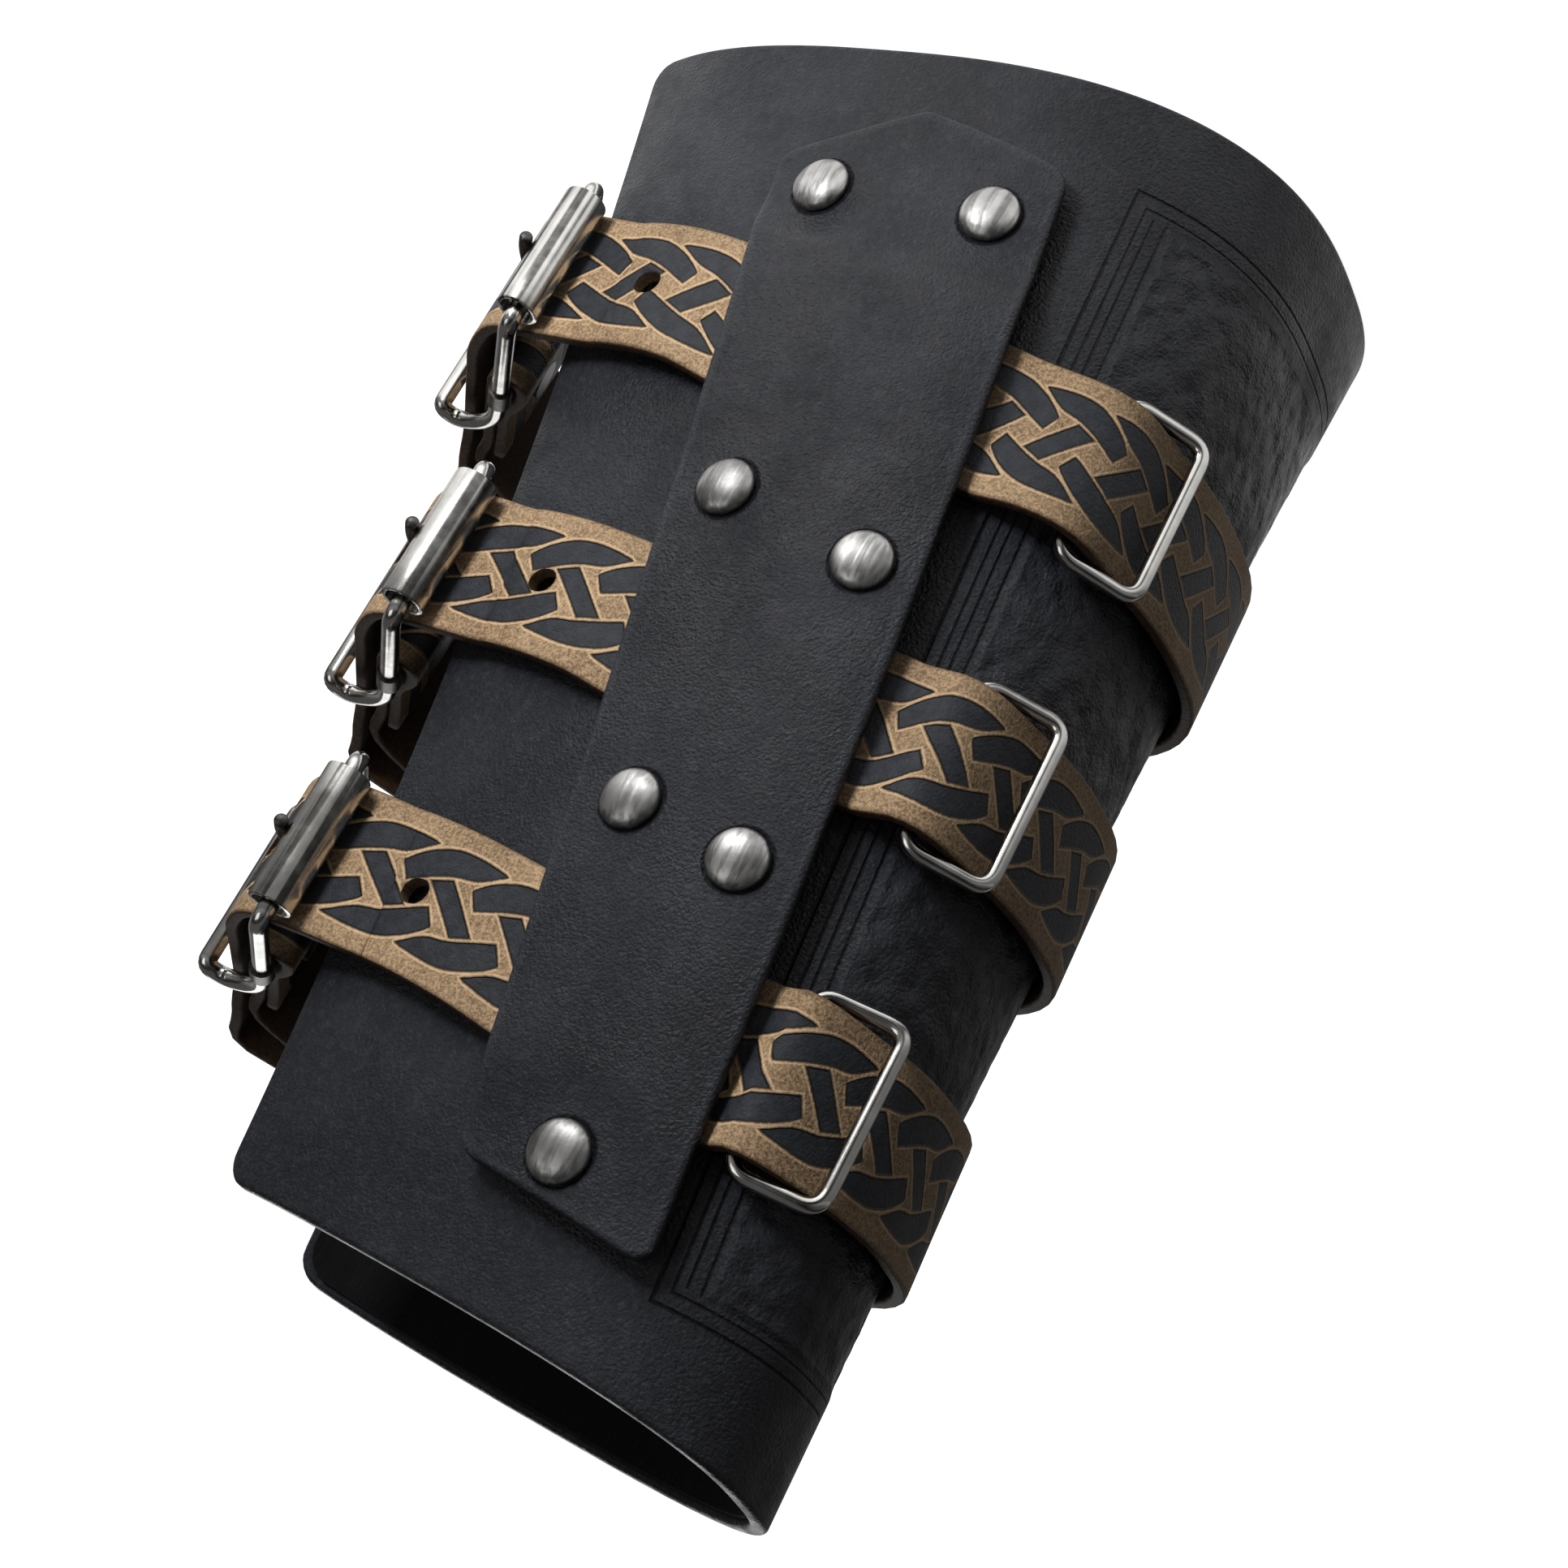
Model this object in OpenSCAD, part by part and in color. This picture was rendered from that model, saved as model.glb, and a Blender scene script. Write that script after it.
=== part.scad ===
// Leather forearm bracer with three buckled straps.
// It stands on its wide elbow rim at z = 0, and the wrist end points to +Z.
// The front, with the riveted placket, faces -Y. The bend is at -X and the buckled opening at +X.

/* [Leather body] */
// Height from the wide rim to the wrist rim
body_length = 207.6; // [185:0.2:235]
// Half of the width across the wide end
wide_half_width = 70; // [62:0.5:80]
// Depth of the front half of the wide end
wide_front_depth = 46.5; // [40:0.5:54]
// Depth of the back half of the wide end
wide_back_depth = 42; // [36:0.5:50]
// Half of the width across the wrist end
wrist_half_width = 56; // [50:0.5:62]
// Depth of the front half of the wrist end
wrist_front_depth = 24; // [22:0.5:32]
// Depth of the back half of the wrist end
wrist_back_depth = 25.3; // [22:0.5:34]
// How far the wrist end lies towards the bend
wrist_shift = 16.3; // [8:0.1:20]
// How far the wrist end lies towards the front
wrist_forward = 1.6; // [0:0.1:3]
// How far the bend and the opening draw in at mid height
waist = 1.8; // [0:0.1:3]
// How square the oval section is, with 2 for a plain ellipse
section_power = 2.6; // [2.2:0.05:3]
// Thickness of the body leather
leather_t = 2.8; // [2:0.1:3.4]
// Thickness of the suede lining
lining_t = 0.8; // [0.5:0.1:1.2]
// How far the lining stops short of every edge
lining_inset = 1.2; // [0.6:0.1:3]
// Radius of the four flap corners
flap_corner_r = 4; // [2:0.5:8]
// Angle of the front flap's edge from +X, at the wide rim
front_edge_wide_angle = 36; // [32:0.5:42]
// Angle of the front flap's edge from +X, at the wrist rim
front_edge_wrist_angle = 32.5; // [30:0.5:38]
// How many degrees the front flap's edge bows in at mid height
front_edge_bow = 7; // [0:0.5:9]
// Angle of the back flap's edge from +X
back_edge_angle = 21; // [16:0.5:28]
// Slope of the wrist rim, which falls towards the opening
wrist_rim_slope = 0.112; // [0:0.005:0.14]
// Slope of the wrist rim, which rises towards the back
wrist_rim_lean = 0.061; // [0:0.005:0.08]

/* [Placket] */
// Width of the placket at its wide end
placket_wide_w = 48; // [42:0.5:54]
// Width of the placket at its wrist end
placket_wrist_w = 31.3; // [27:0.5:36]
// Thickness of the placket leather
placket_t = 2.6; // [2:0.1:3.2]
// Height of the placket's wide end at its shoulders
placket_low_z = 22.2; // [18:0.2:25]
// Distance from the placket's wrist end to the wrist rim
placket_wrist_gap = 15.5; // [11:0.1:19]
// How far the wide end's point stands out past the shoulders
placket_point = 8; // [3:0.5:11]
// Distance of the wide end's middle from the middle of the body, towards the bend
placket_wide_offset = 17.8; // [14:0.2:21]
// Distance of the wrist end's middle from the middle of the wide rim, towards the bend
placket_wrist_offset = 39.5; // [35:0.2:41]
// How far the placket bows towards the bend at mid length
placket_bow = 0.9; // [0:0.1:3]
// Slope of the placket's wide end across it
placket_slope = 0.112; // [0:0.005:0.15]
// Radius of the placket's corners
placket_corner_r = 3; // [1:0.5:5]
// Diameter of the domed rivet caps
rivet_cap_d = 9.4; // [8:0.2:11]
// Height of the domed rivet caps
rivet_cap_h = 2.3; // [1.6:0.1:3]
// Diameter of the rivet posts
rivet_post_d = 3; // [2:0.1:3.6]

/* [Straps] */
// Width of the straps
strap_w = 25; // [22:0.5:27]
// Thickness of the straps
strap_t = 2.1; // [1.8:0.1:2.8]
// Height of the first strap's middle at the opening, as a share of the body's length
strap_low_share = 0.2515; // [0.236:0.0005:0.268]
// Distance from one strap to the next, as a share of the body's length
strap_pitch_share = 0.2469; // [0.238:0.0001:0.256]
// How much higher the straps lie at the bend
strap_rise = 9.2; // [4:0.1:11]
// Further rise of the strap nearest the wide end
first_strap_extra_rise = 3.4; // [0:0.1:4]
// How much higher the straps lie at the back flap's edge than at the buckle
gap_rise = 6; // [0:0.1:8]
// How far the straps' wrist side stands off the body, at the opening
opening_flare = 2.5; // [0.7:0.1:3]
// The same at the bend
bend_flare = 1; // [0.7:0.1:3]
// How far the wrist side stands off between the placket and the ring
side_flare = 2.6; // [0.7:0.1:3]
// The same at the back
back_flare = 1; // [0:0.1:2]
// Diameter of the punched holes
hole_d = 4.2; // [3.8:0.1:5.6]
// Distance between the punched holes
hole_pitch = 25.4; // [22:0.1:28]
// How far the punched holes are stretched along the strap
hole_stretch = 0.8; // [0.6:0.1:3]
// How far the hole that the prong is in is stretched
prong_hole_stretch = 6.8; // [5:0.1:8]
// How many degrees of the back the strap's free end covers
tail_reach = 50; // [30:1:60]

/* [Buckles and rings] */
// Outer diameter of the rollers
roller_d = 7.2; // [6.4:0.1:7.6]
// Diameter of the buckle wire
buckle_wire_d = 3; // [2.6:0.1:3.2]
// Distance from the roller to the centre bar
buckle_reach = 26; // [25:0.2:28]
// Angle by which the buckles turn in from the front
buckle_turn = 56; // [52:0.5:60]
// Distance of the roller's axis from the body's surface
roller_stand = 11; // [10:0.1:12]
// Diameter of the prongs
prong_d = 2.2; // [1.8:0.1:2.4]
// Diameter of the ring wire
ring_wire_d = 2.4; // [2.2:0.1:3]
// Distance between the two upright bars of a ring
ring_reach = 13.5; // [12:0.1:15]
// Angle of the rings' outer bar from +X, over the front
ring_angle = 164.5; // [160:0.5:168]

/* [Hidden] */
$fn = 32;

// The middle of the wide rim, placed so that the origin is below the middle of the whole part
origin_x = -1.7;
origin_y = 3.95;
// Play between pieces that move or are laid over each other
play = 0.3;
// Play of a pin in its hole
pin_play = 0.1;
// Thin layer of glue between the body leather and the lining
glue_gap = 0.15;
strap_low_z = strap_low_share * body_length;
strap_pitch = strap_pitch_share * body_length;
// How far a strap lies off the leather below it
strap_lift = 0.4;
// Columns and rows of the modelled leather sheets
body_columns = 64;
row_steps = [0, 0.006, 0.014, 0.024, 0.1, 0.2, 0.3, 0.4, 0.5, 0.6, 0.7, 0.8, 0.9, 0.976, 0.986, 0.994, 1];

// Plain helpers
function mix(a, b, t) = a + (b - a) * t;
function unit(v) = v / norm(v);
function clamp01(t) = min(1, max(0, t));
function smooth(t) = let (c = clamp01(t)) c * c * (3 - 2 * c);
function spline_point(a, b, c, d, t) =
    0.5 * ((2 * b) + (c - a) * t + (2 * a - 5 * b + 4 * c - d) * t * t + (3 * b - a - 3 * c + d) * t * t * t);
// Points of a smooth curve from the second control point to the last but one
function spline(p, steps) = [
    for (i = [1 : len(p) - 3])
        for (k = [0 : steps - 1])
            spline_point(p[i - 1], p[i], p[i + 1], p[i + 2], k / steps)];

// The oval section of the body at height z, as a polar curve about a middle that shifts with z
function half_width(z) =
    let (v = z / body_length) mix(wide_half_width, wrist_half_width, v) - waist * 4 * v * (1 - v);
function front_depth(z) = mix(wide_front_depth, wrist_front_depth, z / body_length);
function back_depth(z) = mix(wide_back_depth, wrist_back_depth, z / body_length);
function middle_x(z) = origin_x - wrist_shift * z / body_length;
function middle_y(z) = origin_y - wrist_forward * z / body_length;
function depth_at(angle, z) = sin(angle) < 0 ? front_depth(z) : back_depth(z);
function section_r(angle, z) =
    1 / pow(pow(abs(cos(angle)) / half_width(z), section_power)
        + pow(abs(sin(angle)) / depth_at(angle, z), section_power), 1 / section_power);
function section_normal(x, y, z) =
    let (
        depth = y < 0 ? front_depth(z) : back_depth(z),
        gx = sign(x) * pow(abs(x) / half_width(z), section_power - 1) / half_width(z),
        gy = sign(y) * pow(abs(y) / depth, section_power - 1) / depth
    ) unit([gx, gy]);
// A point at a height and an angle, off millimetres outside the body's outer face
function skin(angle, z, off) =
    let (
        r = section_r(angle, z),
        x = r * cos(angle),
        y = r * sin(angle),
        n = section_normal(x, y, z)
    ) [middle_x(z) + x + off * n[0], middle_y(z) + y + off * n[1], z];
// The same for a point on the front half that is given by its x
function front_y(x, z) =
    middle_y(z) - front_depth(z) * pow(1 - pow(abs(x - middle_x(z)) / half_width(z), section_power), 1 / section_power);
function front_normal(x, z) = section_normal(x - middle_x(z), front_y(x, z) - middle_y(z), z);
function front_skin(x, z, off) =
    let (n = front_normal(x, z)) [x + off * n[0], front_y(x, z) + off * n[1], z];
// The front's direction in all three axes
function front_facing(x, z) =
    unit([front_y(x + 1, z) - front_y(x - 1, z), -2, front_y(x, z + 1) - front_y(x, z - 1)]);

// Sheets of leather, from a grid of points on the outer face and one on the inner face
module sheet(outer, inner) {
    rows = len(outer);
    columns = len(outer[0]);
    back = rows * columns;
    points = concat([for (row = outer) each row], [for (row = inner) each row]);
    function at(i, j) = i * columns + j;
    front_faces = [
        for (i = [0 : rows - 2]) for (j = [0 : columns - 2])
            each [[at(i, j), at(i, j + 1), at(i + 1, j + 1)], [at(i, j), at(i + 1, j + 1), at(i + 1, j)]]];
    back_faces = [for (f = front_faces) [f[0] + back, f[2] + back, f[1] + back]];
    low_high_edges = [
        for (j = [0 : columns - 2])
            each [
                [at(0, j + 1), at(0, j)],
                [at(rows - 1, j), at(rows - 1, j + 1)]]];
    side_edges = [
        for (i = [0 : rows - 2])
            each [
                [at(i, 0), at(i + 1, 0)],
                [at(i + 1, columns - 1), at(i, columns - 1)]]];
    edge_faces = [
        for (e = concat(low_high_edges, side_edges))
            each [[e[0], e[1], e[1] + back], [e[0], e[1] + back, e[0] + back]]];
    polyhedron(points, concat(front_faces, back_faces, edge_faces), convexity = 12);
}

// How far a rounded corner draws an edge in, at a distance from the end
function corner_draw(r, distance) =
    distance >= r ? 0 : r - sqrt(r * r - (r - distance) * (r - distance));
function front_edge(v) =
    -mix(front_edge_wide_angle, front_edge_wrist_angle, v) - front_edge_bow * 4 * v * (1 - v);
function back_edge(v) = back_edge_angle - 360;
function rim_z(angle, inset) =
    let (p = skin(angle, body_length, 0))
        body_length - wrist_rim_slope * (p[0] - middle_x(body_length))
            + wrist_rim_lean * (p[1] - middle_y(body_length)) - inset;
// Grid of points for a layer of the body, off outside the outer face, drawn in by inset at every edge
function body_layer(off, inset) = [
    for (v = row_steps) [
        for (j = [0 : body_columns])
            let (
                from_rim = min(v, 1 - v) * (body_length - 2 * inset),
                draw = corner_draw(flap_corner_r, from_rim) + inset,
                to_degrees = 180 / PI / wrist_half_width,
                start = front_edge(v) - draw * to_degrees,
                end = back_edge(v) + draw * to_degrees,
                angle = mix(start, end, j / body_columns),
                z = mix(inset, rim_z(angle, inset), v)
            ) skin(angle, z, off)]];

module rivet_holes(d) {
    for (spot = rivet_spots)
        on_front(spot) translate([0, 0, -20]) cylinder(d = d, h = 40);
}

module body_shell() {
    color([0.13, 0.13, 0.14])
        difference() {
            sheet(body_layer(0, 0), body_layer(-leather_t, 0));
            rivet_holes(rivet_post_d + 2 * pin_play);
        }
}

module suede_lining() {
    face = -leather_t - glue_gap;
    color([0.05, 0.05, 0.05])
        difference() {
            sheet(body_layer(face, lining_inset), body_layer(face - lining_t, lining_inset));
            rivet_holes(rivet_post_d + 2 * pin_play);
        }
}

// The height of a strap's middle at x, over the front, in the gap and over the back
function strap_base(i) = strap_low_z + i * strap_pitch;
function first_extra(share) =
    first_strap_extra_rise * (smooth((0.5 - share) / 0.86) - 0.75
        - 0.26 * smooth((-0.1 - share) / 0.45) + 0.35 * smooth((-0.6 - share) / 0.4));
function strap_z(i, x) =
    let (share = (x - origin_x) / wide_half_width)
        strap_base(i) + strap_rise * smooth((0.31 - share) / 1.03) + (i == 0 ? first_extra(share) : 0);
function back_strap_z(i, x) =
    mix(strap_z(i, origin_x - wide_half_width), strap_base(i) + gap_rise,
        clamp01(((x - origin_x) / wide_half_width + 0.9) / 1.6));

// The placket's outline, with s from 0 at its left edge to 1 at its right edge
placket_high_z = body_length - placket_wrist_gap;
function placket_share(z) = (z - placket_low_z) / (placket_high_z - placket_low_z);
function placket_w(z) = mix(placket_wide_w, placket_wrist_w, placket_share(z));
function placket_middle(v) =
    origin_x - mix(placket_wide_offset, placket_wrist_offset, v) - placket_bow * 4 * v * (1 - v);
function placket_x(s, z) = placket_middle(placket_share(z)) + (0.5 - s) * placket_w(z);
function placket_low_end(s) =
    let (from_side = min(s, 1 - s))
        placket_low_z - placket_slope * (0.5 - s) * -placket_wide_w - placket_point * 2 * from_side
        + corner_draw(placket_corner_r, from_side * placket_wide_w);
function placket_high_end(s) =
    let (from_side = min(s, 1 - s))
        placket_high_z - 1.5 * placket_slope * (0.5 - s) * placket_wrist_w
        - corner_draw(placket_corner_r, from_side * placket_wrist_w);
// The stiff placket rides over the straps, sags a little between them and slopes down to its ends
placket_wide_off = 1.8;
placket_sag_off = 3.6;
placket_wrist_off = 2.6;
under_placket_stand = 0.8;
placket_ride_off = strap_lift + strap_t + under_placket_stand + play;
function is_between(x, z) = z > strap_z(0, x) && z < strap_z(2, x);
function over_strap(i, x, z) =
    let (sag_length = strap_pitch * (is_between(x, z) ? 0.176 : 0.215))
    1 - smooth((abs(z - strap_z(i, x)) - strap_w / 2 - 1) / sag_length);
function placket_rest_off(x, z) =
    is_between(x, z) ? placket_sag_off : z > strap_z(0, x) ? placket_wrist_off : placket_wide_off;
function placket_off(x, z) =
    let (
        ride = max([for (i = [0 : 2]) over_strap(i, x, z)]),
        rest = placket_rest_off(x, z),
        // It is flat under each rivet
        away = min([for (spot = rivet_spots) norm([x - spot[0], z - spot[1]])]),
        flat = smooth((away - rivet_cap_d / 2 - 0.8) / (0.078 * strap_pitch))
    ) mix(rest, placket_ride_off, ride * flat);
placket_rows = 44;
placket_columns = [0, 0.012, 0.03, 0.062, 0.14, 0.22, 0.3, 0.4, 0.5, 0.6, 0.7, 0.78, 0.86, 0.938, 0.97, 0.988, 1];
function placket_layer(extra) = [
    for (i = [0 : placket_rows]) [
        for (s = placket_columns)
            let (
                z = mix(placket_low_end(s), placket_high_end(s), i / placket_rows),
                x = placket_x(s, z)
            ) front_skin(x, z, placket_off(x, z) + extra)]];

module front_placket() {
    color([0.14, 0.14, 0.15])
        difference() {
            sheet(placket_layer(placket_t), placket_layer(0));
            rivet_holes(rivet_post_d + 2 * pin_play);
        }
}

// Rivets of the placket: two at the wide end, two in each gap between straps, one at the wrist end.
// Each spot is a share across the placket and a height.
function gap_z(i, x) = (strap_z(i, x) + strap_z(i + 1, x)) / 2;
wide_rivet_inset = 8;
wrist_rivet_inset = 7.3;
rivet_places = [
    [0.206, placket_low_z + wide_rivet_inset],
    [0.816, placket_low_z + wide_rivet_inset],
    [0.244, gap_z(0, placket_x(0.244, gap_z(0, origin_x))) + 0.0381 * strap_pitch],
    [0.813, gap_z(0, placket_x(0.813, gap_z(0, origin_x))) + 0.0827 * strap_pitch],
    [0.285, gap_z(1, placket_x(0.285, gap_z(1, origin_x))) - 0.0115 * strap_pitch],
    [0.77, gap_z(1, placket_x(0.77, gap_z(1, origin_x))) + 0.0115 * strap_pitch],
    [0.497, placket_high_z - wrist_rivet_inset]];
rivet_spots = [for (p = rivet_places) [placket_x(p[0], p[1]), p[1]]];

// Puts children on the front of the body, with their +Z pointing out of it
module on_front(spot) {
    n = front_facing(spot[0], spot[1]);
    translate(front_skin(spot[0], spot[1], 0))
        rotate([0, acos(n[2]), atan2(n[1], n[0])])
            children();
}

module dome(d, h) {
    base_r = d / 2;
    rim_h = 0.4;
    rise = h - rim_h;
    ball_r = (base_r * base_r + rise * rise) / (2 * rise);
    cylinder(d = d, h = rim_h);
    translate([0, 0, rim_h])
        intersection() {
            translate([0, 0, rise - ball_r]) sphere(r = ball_r, $fn = 48);
            cylinder(d = d, h = h);
        }
}

function cap_off(spot) = placket_rest_off(spot[0], spot[1]) + placket_t + 3.5 * pin_play;
module placket_rivet_caps() {
    color([0.66, 0.66, 0.64])
        for (spot = rivet_spots)
            on_front(spot)
                translate([0, 0, cap_off(spot)]) dome(rivet_cap_d, rivet_cap_h);
}

rivet_head_h = 0.9;
module placket_rivet_posts() {
    inner_face = leather_t + glue_gap + lining_t + 3 * pin_play;
    color([0.45, 0.45, 0.44])
        for (spot = rivet_spots)
            on_front(spot)
                translate([0, 0, -inner_face]) {
                    cylinder(d = rivet_post_d, h = inner_face + cap_off(spot));
                    translate([0, 0, -rivet_head_h]) cylinder(d = 2.6 * rivet_post_d, h = rivet_head_h);
                }
}

// Buckle places: the roller stands over the front flap's edge, a little further out at each strap
roller_step = 1.1;
function edge_spot(i) =
    let (z = strap_z(i, origin_x + wide_half_width / 2)) skin(front_edge(z / body_length), z, 0);
function roller_xy(i) = let (p = edge_spot(i)) [p[0] + roller_step * i, p[1] - roller_stand];
function buckle_z(i) = strap_z(i, roller_xy(i)[0]);
// From the buckle's own plane, x along its arms and -y outwards, to the body's x and y
function buckle_xy(i, p) =
    let (r = roller_xy(i)) [
        r[0] + p[0] * cos(buckle_turn) - p[1] * sin(buckle_turn),
        r[1] + p[0] * sin(buckle_turn) + p[1] * cos(buckle_turn)];
module at_buckle(i) {
    r = roller_xy(i);
    translate([r[0], r[1], buckle_z(i)]) rotate([0, 0, buckle_turn]) children();
}

wire_r = buckle_wire_d / 2;
roller_r = roller_d / 2;
bar_r = wire_r - 0.1;
sleeve_r = wire_r + 0.5;
arm_z = strap_w / 2 + sleeve_r + 0.3;
roller_half_l = strap_w / 2 - 0.7;
// The fold's middle face round the centre bar, and the tail's middle face over the fold
wrap_r = bar_r + play + strap_t / 2;
tail_y = -(wrap_r + strap_t + 1.8);
fold_reach = 24;
fold_rivet_x = buckle_reach + 15;
// The tail runs straight past the roller, from below it to outside the arms
roller_pass_r = roller_r + play + strap_t / 2 + 0.1;
function past_roller(k) = [
    roller_pass_r * sin(buckle_turn) + k * cos(buckle_turn),
    roller_pass_r * cos(buckle_turn) - k * sin(buckle_turn)];

// A strap's path is a list of pairs of points, one on its wide side and one on its wrist side
function free_pair(i, p) =
    let (
        q = buckle_xy(i, p),
        z = buckle_z(i) + gap_rise * smooth((p[0] - buckle_reach - 14) / 30)
    ) [q[0], q[1], z - strap_w / 2, q[0], q[1], z + strap_w / 2];
function strap_low_edge(i, angle) =
    let (
        front = sin(angle) < 0,
        p = skin(angle, front ? strap_z(i, origin_x) : back_strap_z(i, origin_x), 0)
    ) (front ? strap_z(i, p[0]) : back_strap_z(i, p[0])) - strap_w / 2;
function body_pair(i, angle, off) =
    let (
        low = strap_low_edge(i, angle),
        p = skin(angle, low, off),
        q = skin(angle, low + strap_w, off + flare_at(i, angle))
    ) [p[0], p[1], p[2], q[0], q[1], q[2]];
// Under the placket the straps are pressed flat, and elsewhere their wrist side stands off
function flare_at(i, angle) =
    let (
        z = strap_low_edge(i, angle) + strap_w,
        x = skin(angle, z, 0)[0],
        flat = 0.9 * under_placket_stand
    )
    sin(angle) >= 0 ? mix(bend_flare, back_flare, smooth((abs(abs(angle) > 180 ? angle : angle - 360) - 180) / 60))
    : x > placket_x(0, z) ? mix(flat, opening_flare, smooth((x - placket_x(0, z) - 2) / 9))
    : let (past = placket_x(1, z) - x)
        mix(mix(flat, side_flare, smooth(past / 8)), bend_flare, smooth((past - 9) / 12));

// The ring's hidden bar lies under the strap and its outer bar over it
ring_r = ring_wire_d / 2;
ring_step = ring_reach / wide_half_width * 180 / PI * 0.88;
hidden_angle = ring_step - ring_angle;
ring_rise = ring_wire_d + 2 * play - strap_lift + 0.55;
function ring_bump(i, angle) =
    let (
        z = strap_base(i) + strap_rise,
        bar_x = skin(hidden_angle, z, 0)[0],
        room = min(14, placket_x(1, z + strap_w / 2) - bar_x - 1),
        flat = ring_r + play,
        front_away = (skin(angle, z, 0)[0] - bar_x - flat) / (room - flat),
        side_away = ((hidden_angle - angle) * PI / 180 * wide_half_width - flat) / (ring_reach - flat),
        share = clamp01(angle > hidden_angle ? front_away : side_away)
    ) ring_rise * pow(1 - share, 2) * (1 + 0.7 * share);

first_angle = -54;
last_angle = back_edge(0) + 7;
body_angles = concat(
    [for (a = [first_angle : -3 : -139]) a],
    [for (a = [-140.5 : -1.5 : -170]) a],
    [for (a = [-173 : -3 : last_angle]) a]);
strip_off = strap_lift + strap_t / 2;
tail_off = strip_off + strap_lift + strap_t;
function tail_controls(i) = concat(
    [for (k = [1.2, 1, 0.75, 0.5, 0.25]) body_pair(i, back_edge_angle + tail_reach * k, tail_off)],
    [body_pair(i, back_edge_angle + 2, tail_off + 1.6)],
    [free_pair(i, [buckle_reach + 39, tail_y + 4.6])],
    [for (x = [30, 20, 10, 1, -8]) free_pair(i, [buckle_reach + x, tail_y + pow(max(0, x) / 30, 2) * 1.5])],
    [free_pair(i, past_roller(8)), free_pair(i, past_roller(0))],
    [for (a = [first_angle + 3, first_angle, first_angle - 3]) body_pair(i, a, strip_off)]);
function strip_controls(i) =
    let (
        leave = body_pair(i, last_angle, strip_off),
        meet = free_pair(i, [buckle_reach + 28, -1.4]),
        out = 4 * unit([meet[1] - leave[1], leave[0] - meet[0]]),
        halfway = (leave + meet) / 2 - [out[0], out[1], 0, out[0], out[1], 0]
    ) concat(
        [body_pair(i, last_angle + 3, strip_off), leave, halfway, meet],
        [for (x = [20, 10, 2, -4]) free_pair(i, [buckle_reach + x, -wrap_r + max(0, x - 8) * 0.05])]);
wrap_points = [for (a = [0 : 15 : 180]) [buckle_reach - wrap_r * sin(a), -wrap_r * cos(a)]];
fold_gap = strap_t + 0.25;
function fold_controls(i) =
    [for (p = [[-3, wrap_r], [3, wrap_r - 0.2], [9, fold_gap - wrap_r + 0.5], [15, fold_gap - wrap_r + 0.4],
        [20, fold_gap - wrap_r + 0.6], [fold_reach, fold_gap - wrap_r + 0.8],
        [fold_reach + 5, fold_gap - wrap_r + 1]])
        free_pair(i, [buckle_reach + p[0], p[1]])];
function strap_path(i) = concat(
    spline(tail_controls(i), 4),
    [for (a = body_angles) body_pair(i, a, strip_off + ring_bump(i, a))],
    spline(strip_controls(i), 4),
    [for (p = wrap_points) free_pair(i, p)],
    spline(fold_controls(i), 3));
// One side of the path, moved square to itself by off
function strap_side(path, side, off) = [
    for (k = [0 : len(path) - 1])
        let (
            h = side * 3,
            a = path[max(0, k - 1)],
            b = path[min(len(path) - 1, k + 1)],
            d = unit([b[h] - a[h], b[h + 1] - a[h + 1]])
        ) [path[k][h] - d[1] * off, path[k][h + 1] + d[0] * off, path[k][h + 2]]];

// A stretched hole through a strap, at a place in the buckle's plane and an angle there
module stretched_hole(x, y, turn, stretch = hole_stretch) {
    translate([x, y, 0])
        rotate([0, 0, turn])
            rotate([90, 0, 0])
                translate([0, 0, -4]) {
                    for (side = [-1, 1])
                        translate([side * stretch / 2, 0, 0]) cylinder(d = hole_d, h = 8);
                    translate([-stretch / 2, -hole_d / 2, 0]) cube([stretch, hole_d, 8]);
                }
}
prong_cross = 6.6;
module strap_holes(i) {
    mouth = past_roller(prong_cross + prong_hole_stretch / 3);
    at_buckle(i) {
        stretched_hole(mouth[0], mouth[1], -buckle_turn, prong_hole_stretch);
        stretched_hole(buckle_reach + 10, tail_y, 0);
        // Slot in the fold for the prong's eye
        translate([buckle_reach - 7, -wrap_r - strap_t / 2 - 0.2, -prong_eye_w / 2 - play - 0.3])
            cube([13, 2 * wrap_r + strap_t + 0.4, prong_eye_w + 2 * play + 0.6]);
        translate([fold_rivet_x, -8, 0]) rotate([-90, 0, 0])
            translate([0, 0, 8 + tail_y + strap_t]) cylinder(d = fold_post_d + 2 * pin_play, h = 12);
    }
    visible_x = roller_xy(i)[0] + prong_cross - hole_pitch;
    low = strap_z(i, visible_x);
    n = front_normal(visible_x, low);
    translate([visible_x, front_y(visible_x, low), low])
        rotate([0, 0, atan2(n[1], n[0]) + 90])
            stretched_hole(0, -3, 0);
}

module strap(i) {
    path = strap_path(i);
    half = strap_t / 2;
    color([0.46, 0.33, 0.19])
        difference() {
            sheet([strap_side(path, 0, half), strap_side(path, 1, half)],
                [strap_side(path, 0, -half), strap_side(path, 1, -half)]);
            strap_holes(i);
        }
}

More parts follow.
